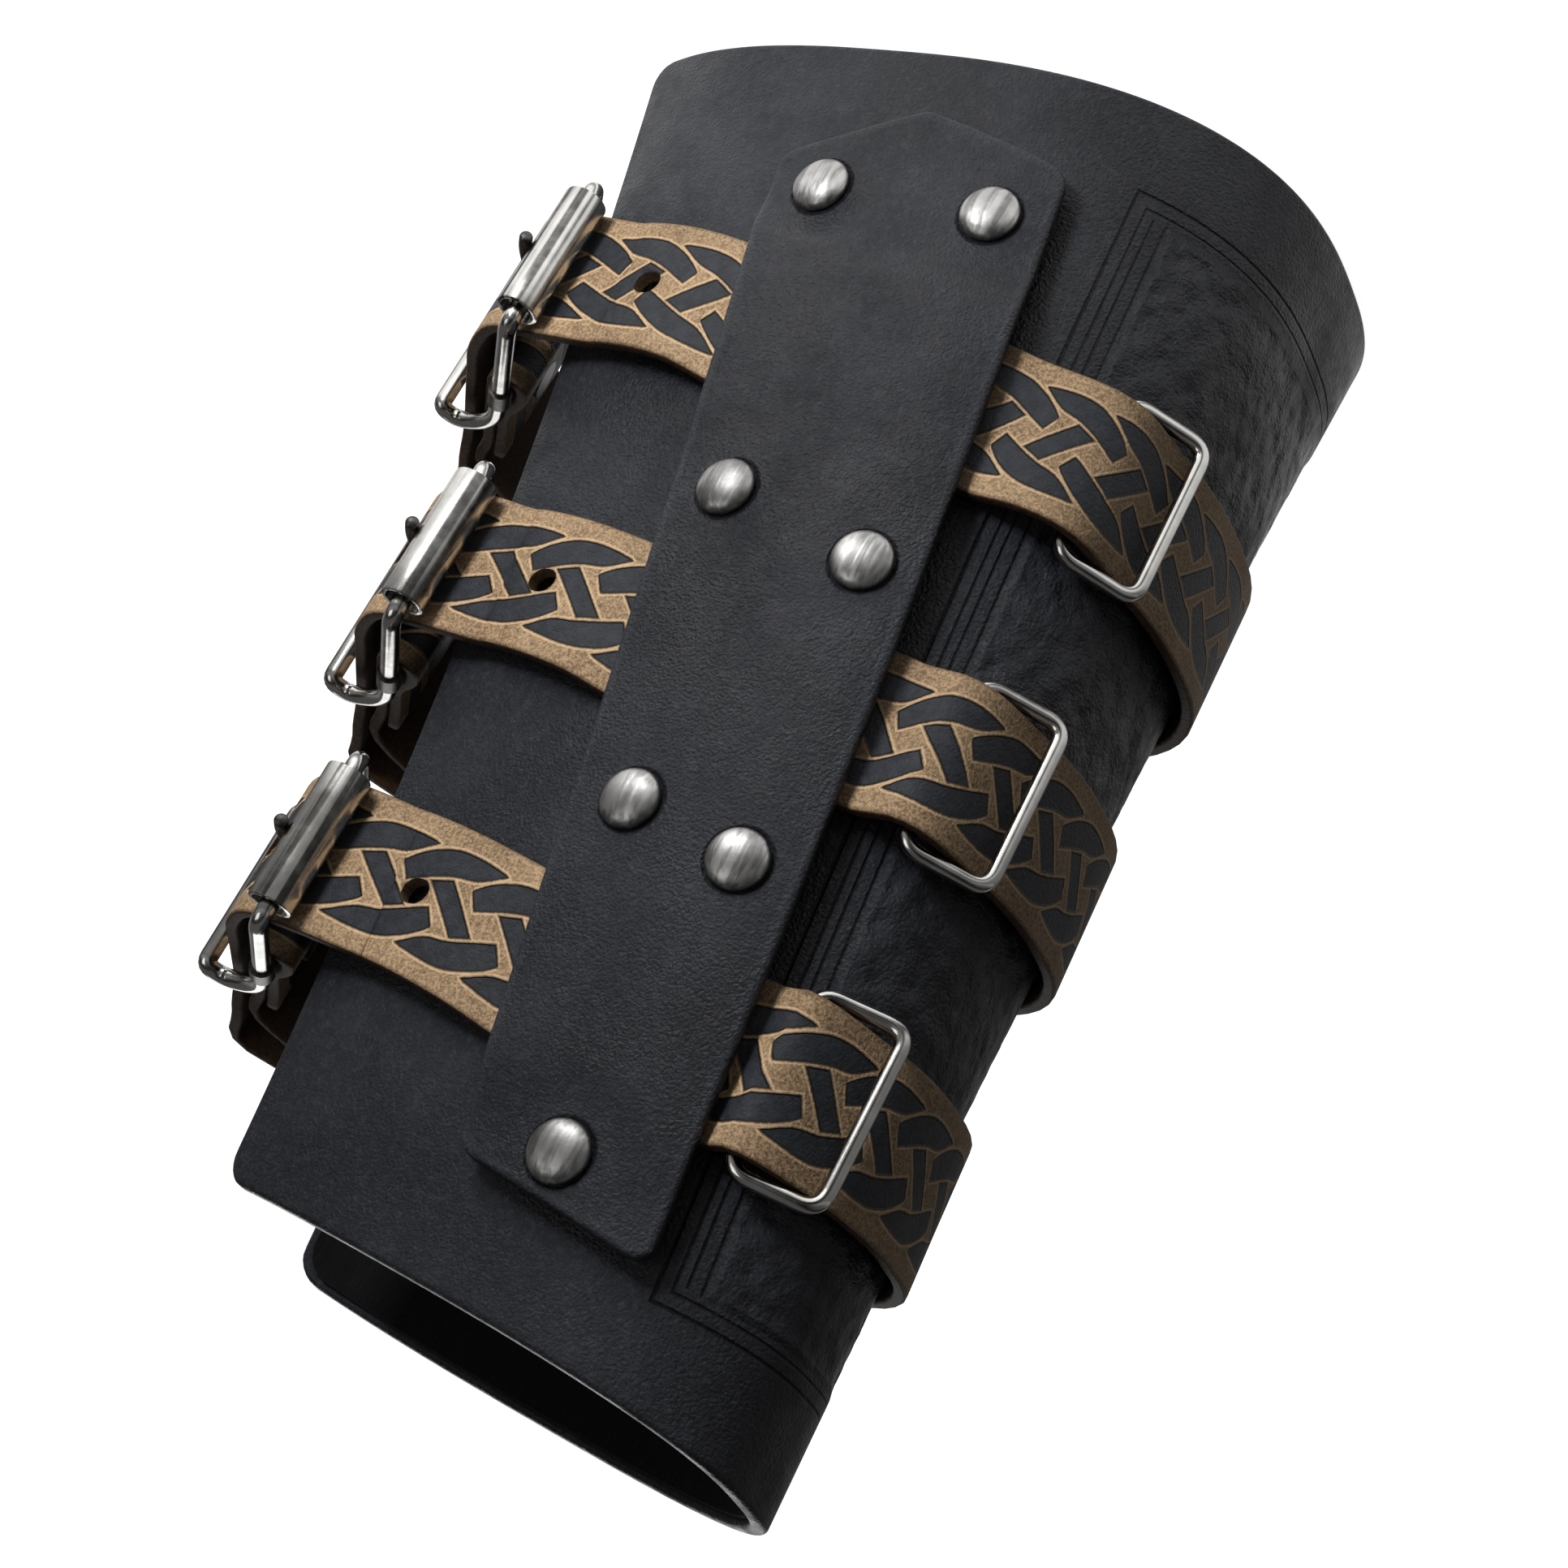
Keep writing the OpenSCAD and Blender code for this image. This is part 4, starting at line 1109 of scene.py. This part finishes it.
class BRACER_OT_lining(bpy.types.Operator):
    """Make the suede lining inside the body"""
    bl_idname = "bracer.lining"
    bl_label = "Suede lining"

    def execute(self, context):
        rows, columns = dense_steps(60, 0.006), dense_steps(120, 0.004)
        top = -LEATHER - GLUE_GAP
        layers = layered(top - LINING, top, 0.3, LINING_INSET, rows, columns)
        points, angle, z = body_layer(top, LINING_INSET, rows, columns)
        uv = (np.radians(angle) * 0.05, z * 0.001)
        piece = wall("lining_suede", layers, uv, [suede_finish()])
        ride_on(piece, FIXED, "black_suede", "suede_lining")
        return {"FINISHED"}


# Placket and its rivets

class BRACER_OT_placket(bpy.types.Operator):
    """Make the placket that lies over the straps"""
    bl_idname = "bracer.placket"
    bl_label = "Placket"

    def execute(self, context):
        across, up = dense_steps(44, 0.012), dense_steps(170, 0.004)
        r = 0.8

        def layer(extra, inset):
            s = np.asarray(across)[None, :]
            v = np.asarray(up)[:, None]
            width = placket_w(mix(placket_low_end(s), placket_high_end(s), v))
            s = mix(inset / width, 1 - inset / width, s)
            z = mix(placket_low_end(s) + inset, placket_high_end(s) - inset, v)
            x = placket_x(s, z)
            return front_skin(x, z, placket_off(x, z) + extra), s, z

        rim = rounded_rim(0, PLACKET_T, r, 0, [0, 22, 45, 68, 90])
        layers = [layer(off, drawn)[0] for off, drawn in rim]
        points, s, z = layer(PLACKET_T, 0)
        ends = np.minimum(z - placket_low_end(s), placket_high_end(s) - z)
        inset = np.minimum(np.minimum(s, 1 - s) * placket_w(z), ends)
        looks = [placket_finish(), inner_leather_finish()]
        piece = wall("placket_leather", layers, (inset * MM, z * MM), looks)
        ride_on(piece, FIXED, "black_leather", "front_placket")
        return {"FINISHED"}


def cap_tree(look):
    """Geometry nodes: one turned cap at each point of a mesh, facing along its direction attribute."""
    group = bpy.data.node_groups.new("rivet_caps", "GeometryNodeTree")
    for name, way, kind in (("Places", "INPUT", "Geometry"), ("Width", "INPUT", "Float"),
                            ("Height", "INPUT", "Float"), ("Caps", "OUTPUT", "Geometry")):
        group.interface.new_socket(name, in_out=way, socket_type="NodeSocket" + kind)
    t = Tree(group)
    given = t.node("NodeGroupInput").outputs
    height = t.number(given["Height"])
    # A half ball squeezed to the cap's height, a little flatter at its crown, on a short rim
    ball = t.node("GeometryNodeMeshUVSphere", None, {"Segments": 48, "Rings": 28, "Radius": 1.0})
    x, y, z = t.parts(t.node("GeometryNodeInputPosition").outputs[0])
    radius = t.number(given["Width"]) * 0.5
    crown = z.most(0.0).math("POWER", 0.85) * (height * 0.86)
    high = crown + z.math("GREATER_THAN", -0.06) * (height * 0.14)
    place = t.node("ShaderNodeCombineXYZ", None, {0: x * radius, 1: y * radius, 2: high})
    shape = t.node("GeometryNodeSetPosition", None, {
        "Geometry": ball.outputs["Mesh"], "Position": place.outputs[0]})
    facing = t.node("GeometryNodeInputNamedAttribute", {"data_type": "FLOAT_VECTOR"}, {"Name": "facing"})
    turn = t.node("FunctionNodeAlignRotationToVector", {"axis": "Z"}, {"Vector": facing.outputs["Attribute"]})
    last = t.node("GeometryNodeInstanceOnPoints", None, {
        "Points": given["Places"], "Instance": shape.outputs[0], "Rotation": turn.outputs[0]})
    for kind in ("GeometryNodeRealizeInstances", "GeometryNodeSetShadeSmooth", "GeometryNodeSetMaterial"):
        last = t.node(kind, None, {0: last.outputs[0]})
    last.inputs["Material"].default_value = look
    t.node("NodeGroupOutput", None, {0: last.outputs[0]})
    return group


def made_by_nodes(name, tree, points, facings, inputs):
    """Runs a node tree on points and keeps its result as a plain mesh."""
    mesh = bpy.data.meshes.new(name + "_places")
    mesh.from_pydata([tuple(p) for p in points], [], [])
    way = mesh.attributes.new("facing", "FLOAT_VECTOR", "POINT")
    way.data.foreach_set("vector", np.array(facings, dtype=np.float32).ravel())
    holder = linked(name + "_places", mesh)
    modifier = holder.modifiers.new("nodes", "NODES")
    modifier.node_group = tree
    for item in tree.interface.items_tree:
        if item.name in inputs:
            modifier[item.identifier] = inputs[item.name]
    made = evaluated(holder)
    made.name = name
    bpy.data.objects.remove(holder)
    piece = linked(name, made)
    bm = bmesh.new()
    bm.from_mesh(made)
    bmesh.ops.remove_doubles(bm, verts=bm.verts, dist=1e-6)
    bmesh.ops.recalc_face_normals(bm, faces=bm.faces)
    bm.to_mesh(made)
    bm.free()
    return piece


class BRACER_OT_rivets(bpy.types.Operator):
    """Make the seven domed caps on the placket"""
    bl_idname = "bracer.rivets"
    bl_label = "Rivet caps"

    def execute(self, context):
        s = sizes()
        seats = [rivet_seat(*spot) for spot in RIVET_SPOTS]
        places, facings = [place * MM for place, n in seats], [n for place, n in seats]
        piece = made_by_nodes("placket_rivets", cap_tree(brushed_finish()), places, facings,
                              {"Width": s.rivet_width, "Height": s.rivet_height})
        ride_on(piece, FIXED, "brushed_nickel", "placket_rivet_caps")
        return {"FINISHED"}


# Straps

def strap_section():
    """The section of a strap: how far across it and how far out of its middle each corner is."""
    r = 0.6
    h = STRAP_T / 2
    out = [(t, h) for t in np.concatenate([[0.7, 1.6], np.linspace(3, 22, 13), [23.4, 24.3]])]
    turn = np.radians([0, 25, 50, 75, 90])
    far = [(STRAP_W - r + r * math.sin(a), h - r + r * math.cos(a)) for a in turn]
    far += [(STRAP_W - r + r * math.sin(a), -h + r - r * math.cos(a)) for a in turn[::-1]]
    near = [(r - r * math.sin(a), -h + r - r * math.cos(a)) for a in turn]
    near += [(r - r * math.sin(a), h - r + r * math.cos(a)) for a in turn[::-1]]
    inner = [(t, -h) for t in np.linspace(22, 3, 7)]
    return out + far + inner + near


# Lengths along each strap where bars of the plait lie, counted from the middle of the front, and their count.
# The pattern is closer on the bend.
PLAIT_PLACES = [(-27.5, -12.9, 44.2, 55.2, 66.0, 88.5), (-26.0, -11.2, 44.2, 56.0, 66.8, 87.6),
                (-24.6, -9.5, 46.0, 57.4, 67.8, 87.9)]
PLAIT_COUNTS = (0, 1, 5, 6, 7, 9)


def strap_phase(i, run):
    """Which period of the plait each length along the strap is in."""
    return np.interp(run, (-271.0, *PLAIT_PLACES[i], 298.5), (-16.5, *PLAIT_COUNTS, 29.0))


def cutter(points, faces):
    mesh = bpy.data.meshes.new("cutter")
    mesh.from_pydata([tuple(np.asarray(p) * MM) for p in points], [], faces)
    made = linked("cutter", mesh)
    turn_outwards(made)
    return made


def slot_prism(width, stretch, low, high, sides=14):
    """A stretched round prism along its own third axis."""
    ring = []
    for side, start in ((1, -90), (-1, 90)):
        for a in np.radians(np.linspace(start, start + 180, sides)):
            ring.append((side * stretch / 2 + width / 2 * math.cos(a), width / 2 * math.sin(a)))
    n = len(ring)
    points = [(x, y, z) for z in (low, high) for x, y in ring]
    return points, end_faces(2, n) + [[k, (k + 1) % n, n + (k + 1) % n, n + k] for k in range(n)]


def evaluated(piece):
    """A new mesh of a piece with its modifiers applied."""
    graph = bpy.context.evaluated_depsgraph_get()
    return bpy.data.meshes.new_from_object(piece.evaluated_get(graph), depsgraph=graph)


def cut(piece, cutters):
    """Takes the cutters out of a piece."""
    for tool in cutters:
        modifier = piece.modifiers.new("cut", "BOOLEAN")
        modifier.operation = "DIFFERENCE"
        modifier.solver = "EXACT"
        modifier.object = tool
        made, old = evaluated(piece), piece.data
        piece.modifiers.clear()
        piece.data = made
        bpy.data.meshes.remove(old)
        bpy.data.objects.remove(tool)


# How far past the roller's middle the prong enters its hole
HOLE_OUT = 6.6
BOX_FACES = [[0, 1, 3, 2], [4, 6, 7, 5], [0, 4, 5, 1], [2, 3, 7, 6], [0, 2, 6, 4], [1, 5, 7, 3]]


def strap_cutters(i):
    """The prong's hole, the slot in the fold and the next hole along."""
    c, s = math.cos(BUCKLE_TURN), math.sin(BUCKLE_TURN)
    mouth = past_roller(HOLE_OUT + PRONG_HOLE_STRETCH / 3)
    # In the buckle's plane the hole's long way is turned back by the buckle's own turn
    points, faces = slot_prism(HOLE_D, PRONG_HOLE_STRETCH, -4, 4)
    places = [(mouth[0] + p[0] * c - p[2] * s, mouth[1] - p[0] * s - p[2] * c, p[1]) for p in points]
    made = [cutter(at_buckle(i, places), faces)]
    half = 1.5 + PLAY + 0.3
    low, high = -WRAP_R - STRAP_T / 2 - 0.2, WRAP_R + 0.2
    box = [(BUCKLE_REACH - 7 + 13 * a, mix(low, high, b), half * (2 * d - 1))
           for a in (0, 1) for b in (0, 1) for d in (0, 1)]
    made.append(cutter(at_buckle(i, box), BOX_FACES))
    x = roller_xy(i)[0] + HOLE_OUT - HOLE_PITCH
    z = float(strap_z(i, x))
    y = float(front_y(x, z))
    nx, ny = section_normal(x - middle_x(z), y - middle_y(z), z)
    points, faces = slot_prism(HOLE_D, HOLE_STRETCH, -1, 7)
    places = [(x + p[0] * -ny + p[2] * nx, y + p[0] * nx + p[2] * ny, z + p[1]) for p in points]
    return made + [cutter(places, faces)]


class BRACER_OT_straps(bpy.types.Operator):
    """Make the three tooled straps"""
    bl_idname = "bracer.straps"
    bl_label = "Straps"

    def execute(self, context):
        plain, mirrored = strap_finish("tooled_leather"), strap_finish("tooled_leather_mirrored", True)
        side = strap_side_finish()
        section = strap_section()
        for i in range(3):
            path = strap_path(i)
            count = len(path)
            middle = (path[:, :3] + path[:, 3:]) / 2
            run = np.concatenate([[0], np.cumsum(np.linalg.norm(np.diff(middle, axis=0), axis=1))])
            # Lengths are counted from the middle of the front
            aside = middle[:, 0] - middle_x(middle[:, 2])
            crossed = np.flatnonzero((aside[:-1] > 0) & (aside[1:] <= 0) & (middle[:-1, 1] < 0))[0]
            run = run - np.interp(0, -aside[crossed:crossed + 2], run[crossed:crossed + 2])
            phase = strap_phase(i, run)
            ways = []
            at = np.arange(count)
            ends = path[np.minimum(at + 1, count - 1)] - path[np.maximum(at - 1, 0)]
            for h in (0, 3):
                d = ends[:, h:h + 2] / np.linalg.norm(ends[:, h:h + 2], axis=1)[:, None]
                ways.append(np.stack([-d[:, 1], d[:, 0], 0 * d[:, 0]], axis=-1))
            points, uvs, slots = [], [], []
            for k in range(count):
                for t, o in section:
                    share = t / STRAP_W
                    base = mix(path[k, :3], path[k, 3:], share)
                    points.append(base + mix(ways[0][k], ways[1][k], share) * o)
            n = len(section)
            for k in range(count - 1):
                for near, far in zip(section, section[1:] + section[:1]):
                    a, b = near[0] / STRAP_W, far[0] / STRAP_W
                    uvs.append([(phase[k], a), (phase[k], b), (phase[k + 1], b), (phase[k + 1], a)])
                    slots.append(0 if min(near[1], far[1]) > STRAP_T / 2 - 0.3 else 1)
            faces = ring_faces(count, n) + end_faces(count, n)
            uvs += [[(0, 0)] * n] * 2
            piece = new_mesh_piece(f"strap_leather_{i + 1}", points, faces, uvs,
                                   [mirrored if i == 0 else plain, side], slots + [1, 1])
            cut(piece, strap_cutters(i))
            ride_on(piece, FIXED, "tooled_leather", f"strap_{i + 1}")
        return {"FINISHED"}


# Buckles, prongs and rings

ROLLER_SHORT = 0.7
ROLLER_WALL = 0.8
BORE_DEEP = 1.2
SEAM_TURN = math.radians(232)
# The ways that set the wires' painted dark reflection line and painted shade
WIRE_WAY = (-0.3, -0.95, 0.1)
RING_WAY = (-0.9, -0.42, 0.05)


class BRACER_OT_buckles(bpy.types.Operator):
    """Make the buckles' wire frames, rollers and prongs, and dress the centre bars"""
    bl_idname = "bracer.buckles"
    bl_label = "Buckles"

    def execute(self, context):
        bright = polished_finish("polished_nickel_wire", painted_reflection_and_shade=0.7)
        sheet = polished_finish("polished_nickel_rollers", 0.16, 1.0, 0.78)
        steel = dark_steel_finish("dark_steel_pins")
        for i in range(3):
            self.wire(i, bright)
            self.roller(i, sheet)
            self.prong(i, steel)
            dress(f"buckle_centre_bar_{i + 1}", steel)
        return {"FINISHED"}

    def wire(self, i, look):
        end = BUCKLE_REACH
        arm = [(0, 0), (end, 0), (end + 6, -0.4), (end + 10, -2.4), (end + 13, -5.6), (end + 13.8, -8)]
        loop = [(x, y, -ARM_Z) for x, y in arm] + [(*KEEPER_BAR, -ARM_Z), (*KEEPER_BAR, ARM_Z)]
        loop += [(x, y, ARM_Z) for x, y in arm[::-1]]
        path = rounded_path(at_buckle(i, loop), 2.2, 5, closed=True)
        piece = new_mesh_piece(f"buckle_wire_{i + 1}", *tube(path, WIRE_D / 2, closed=True), looks=[look])
        mark_around(piece, WIRE_WAY)
        ride_on(piece, FIXED, "polished_nickel", f"buckle_frame_{i + 1}")

    def roller(self, i, look):
        """A tube rolled from sheet, so it has a seam along it. Its bore runs on the wire."""
        half = STRAP_W / 2 - ROLLER_SHORT
        inner, outer, bore = ROLLER_D / 2 - ROLLER_WALL, ROLLER_D / 2, WIRE_D / 2 + PIN_PLAY
        side = [(inner, BORE_DEEP), (inner, 0.15), (inner + 0.15, 0), (outer - 0.3, 0), (outer - 0.08, 0.1),
                (outer, 0.35), (outer, 6)]
        profile = [(r, -half + z) for r, z in side] + [(outer, 0)] + [(r, half - z) for r, z in side[::-1]]
        profile += [(bore, half - BORE_DEEP), (bore, 0), (bore, -half + BORE_DEEP)]
        whole = 2 * math.pi
        turns = np.append(np.linspace(0.035, whole - 0.035, 60), [whole - 0.012, whole + 0.012])
        seam = [(r - 0.32 if r > outer - 0.31 else r, z) for r, z in profile]
        points, faces = turned([profile] * 60 + [seam] * 2, turns + SEAM_TURN)
        piece = new_mesh_piece(f"roller_tube_{i + 1}", at_buckle(i, points), faces, looks=[look])
        crease_sharp(piece)
        ride_on(piece, f"roller_{i + 1}_body", "polished_nickel", f"buckle_roller_{i + 1}")

    def prong(self, i, look):
        """An eye round the centre bar, and a wire whose tip rests on the roller."""
        wide, bore = PRONG_D / 2, BAR_R + PIN_PLAY
        root = (BUCKLE_REACH - bore - wide, -0.6)
        tip = (-1.4, -(ROLLER_D / 2 + wide + PIN_PLAY))
        line = [(*root, 0), (root[0] - 3.5, root[1] - 0.4, 0), (1.5, tip[1], 0), (*tip, 0)]
        stem = tube(rounded_path(at_buckle(i, line), 1.6, 6), wide, caps=5)
        eye_r = bore + 1.4
        rim = [(bore, -1.3), (bore, 1.3), (bore + 0.2, 1.5), (eye_r - 0.3, 1.5), (eye_r, 1.2), (eye_r, -1.2),
               (eye_r - 0.3, -1.5), (bore + 0.2, -1.5)]
        eye, eye_faces = turned([rim] * 40, 2 * math.pi * np.arange(40) / 40)
        eye = at_buckle(i, [(BUCKLE_REACH + x, y, z) for x, y, z in eye])
        points, faces = gather([stem, (eye, eye_faces)])
        piece = new_mesh_piece(f"prong_wire_{i + 1}", points, faces, looks=[look])
        crease_sharp(piece)
        ride_on(piece, f"prong_{i + 1}_body", "dark_steel", f"buckle_prong_{i + 1}")


def crease_sharp(piece, degrees=32):
    """Keeps a smooth piece's sharp corners sharp."""
    bm = bmesh.new()
    bm.from_mesh(piece.data)
    bmesh.ops.recalc_face_normals(bm, faces=bm.faces)
    for edge in bm.edges:
        if edge.is_manifold and edge.calc_face_angle(0.0) > math.radians(degrees):
            edge.smooth = False
    bm.to_mesh(piece.data)
    bm.free()


def dress(node, look):
    """Gives a carried-over CAD node a material."""
    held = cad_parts[node]
    if not held.material_slots:
        held.data.materials.append(look)
    for place in held.material_slots:
        place.material = look


def ring_bar(i, angle, off):
    """The middle and direction of one of a ring's bars across the strap."""
    p, q = np.reshape(body_pair(i, angle, off), (2, 3))
    return (p + q) / 2, unit(q - p)


class BRACER_OT_rings(bpy.types.Operator):
    """Make the wire rings round the straps"""
    bl_idname = "bracer.rings"
    bl_label = "Rings"

    def execute(self, context):
        bright = polished_finish("polished_nickel_rings", 0.1, painted_reflection_and_shade=0.8)
        r = RING_WIRE / 2
        half = STRAP_W / 2 + 0.5 + r
        for i in range(3):
            hidden, up0 = ring_bar(i, HIDDEN_ANGLE, PLAY + r + 0.25)
            outer, up1 = ring_bar(i, -RING_ANGLE, STRAP_LIFT + STRAP_T + PLAY + r + 0.3)
            up = unit(up0 + up1)
            between = outer - hidden
            across = unit(between - up * between.dot(up))
            corners = [(0, -half), (RING_REACH, -half), (RING_REACH, half), (0, half)]
            corners = [hidden + across * x + up * y for x, y in corners]
            path = rounded_path(corners, 3.3, 8, closed=True)
            ring = tube(path, r, closed=True, sides=24)
            piece = new_mesh_piece(f"ring_wire_{i + 1}", *ring, looks=[bright])
            mark_around(piece, RING_WAY)
            ride_on(piece, f"ring_{i + 1}_body", "polished_nickel", f"keeper_ring_{i + 1}")
        return {"FINISHED"}


class BRACER_OT_pins(bpy.types.Operator):
    """Dress the rivet posts and the fold rivets that the CAD model carries"""
    bl_idname = "bracer.pins"
    bl_label = "Posts and fold rivets"

    def execute(self, context):
        look = dark_steel_finish("dark_steel_posts")
        for name in ("placket_rivet_posts", "strap_fold_rivet_1", "strap_fold_rivet_2", "strap_fold_rivet_3"):
            dress(name, look)
        return {"FINISHED"}


# Camera, floor and lights

RIGHT = Vector((-0.8085, 0.3798, -0.4495))
UP = Vector((0.1974, -0.5446, -0.8151))
TOWARDS = Vector((-0.5544, -0.7478, 0.3653))
CAMERA_PLACE = (-0.279, -0.34485, 0.279)
LENS = 69.34
AIM = Vector((-0.005, 0.0, 0.10))
FLOOR_REACH = 24.0
FLOOR_DROP = 0.0002
NEAR_SPOT = (0.05, -0.12, 0.0)
WHITE = (1, 1, 1, 1)


class BRACER_OT_stage(bpy.types.Operator):
    """Set the camera, the pale floor, the background and the lights"""
    bl_idname = "bracer.stage"
    bl_label = "Stage"

    def execute(self, context):
        scene = context.scene
        lens = bpy.data.cameras.new("camera")
        lens.lens = LENS
        lens.sensor_width = 36
        lens.clip_start = 0.01
        scene.camera = linked("camera", lens)
        turn = Matrix((RIGHT, UP, TOWARDS)).transposed().to_4x4()
        scene.camera.matrix_world = Matrix.Translation(CAMERA_PLACE) @ turn
        self.floor()
        self.world(scene)
        self.lamp("key", (0.05, -0.41, 0.05), 0.09, 1.65, glossy=False)
        self.lamp("sheen", (0.03, -0.21, 0.03), 0.05, 0.09)
        self.lamp("fill", (0.20, -0.80, 0.60), 0.50, 0.9)
        self.lamp("back", (0.45, 0.80, 0.50), 0.60, 2.2)
        scene.view_settings.view_transform = "Standard"
        return {"FINISHED"}

    def floor(self):
        mesh = bpy.data.meshes.new("floor")
        square = ((-1, -1), (1, -1), (1, 1), (-1, 1))
        corners = [(x * FLOOR_REACH, y * FLOOR_REACH, -FLOOR_DROP) for x, y in square]
        mesh.from_pydata(corners, [], [(0, 1, 2, 3)])
        f = Finish("pale_floor")
        rays = f.node("ShaderNodeLightPath").outputs
        seen = f.number(rays["Is Camera Ray"])
        # For reflections the floor glows, brightest close to the object and less far off: a painted pool of
        # light that the object reflects
        reflected_glow = f.number(rays["Is Transmission Ray"]).most(rays["Is Glossy Ray"])
        reflected_glow = reflected_glow * f.distance(f.place, NEAR_SPOT).step(0.06, 0.42, 1.05, 0.10)
        glow = f.node("ShaderNodeEmission", None, {"Color": WHITE, "Strength": reflected_glow.most(seen) * 0.95})
        # Paler to the camera than to the light that it sends back on the object
        pale = f.node("ShaderNodeBsdfDiffuse", None, {"Color": mixed(seen, 0.42, 0.82)})
        both = f.node("ShaderNodeAddShader", None, {0: pale.outputs[0], 1: glow.outputs[0]})
        mesh.materials.append(f.finished(both))
        linked("floor", mesh)

    def world(self, scene):
        """Pale near the horizon, darker overhead for the metal to show, and white to the camera."""
        scene.world = bpy.data.worlds.new("studio")
        scene.world.use_nodes = True
        t = Tree(scene.world.node_tree)
        height = t.parts(t.node("ShaderNodeTexCoord").outputs["Generated"])[2]
        seen = t.node("ShaderNodeLightPath").outputs["Is Camera Ray"]
        strength = height.step(0.02, 0.35, 0.26, 0.08).most(seen)
        back = t.node("ShaderNodeBackground", None, {"Color": WHITE, "Strength": strength})
        t.node("ShaderNodeOutputWorld", None, {0: back.outputs[0]})

    def lamp(self, name, place, size, power, glossy=True):
        light = bpy.data.lights.new(name, "AREA")
        light.shape = "SQUARE"
        light.size = size
        light.energy = power
        lamp = linked(name, light)
        lamp.location = place
        lamp.rotation_euler = (AIM - Vector(place)).to_track_quat("-Z", "Y").to_euler()
        lamp.visible_camera = False
        lamp.visible_glossy = glossy


OPERATORS = [BRACER_OT_stage, BRACER_OT_body, BRACER_OT_lining, BRACER_OT_placket, BRACER_OT_rivets,
             BRACER_OT_straps, BRACER_OT_buckles, BRACER_OT_rings, BRACER_OT_pins]


class BRACER_PT_panel(bpy.types.Panel):
    """The bracer's pieces, sizes and colours"""
    bl_idname = "BRACER_PT_panel"
    bl_label = "Leather bracer"
    bl_space_type = "VIEW_3D"
    bl_region_type = "UI"
    bl_category = "Bracer"

    def draw(self, context):
        layout = self.layout
        for operator in OPERATORS:
            layout.operator(operator.bl_idname)
        for group in (context.scene.bracer_sizes, context.scene.bracer_colours):
            box = layout.box()
            for key in group.__annotations__:
                box.prop(group, key)


CLASSES = [BracerSizes, BracerColours, *OPERATORS, BRACER_PT_panel]


def register():
    for item in CLASSES:
        bpy.utils.register_class(item)
    bpy.types.Scene.bracer_sizes = bpy.props.PointerProperty(type=BracerSizes)
    bpy.types.Scene.bracer_colours = bpy.props.PointerProperty(type=BracerColours)


def unregister():
    del bpy.types.Scene.bracer_colours
    del bpy.types.Scene.bracer_sizes
    for item in reversed(CLASSES):
        bpy.utils.unregister_class(item)


def main():
    register()
    bpy.ops.bracer.stage()
    bpy.ops.bracer.body()
    bpy.ops.bracer.lining()
    bpy.ops.bracer.placket()
    bpy.ops.bracer.rivets()
    bpy.ops.bracer.straps()
    bpy.ops.bracer.buckles()
    bpy.ops.bracer.rings()
    bpy.ops.bracer.pins()


if __name__ == "__main__":
    main()
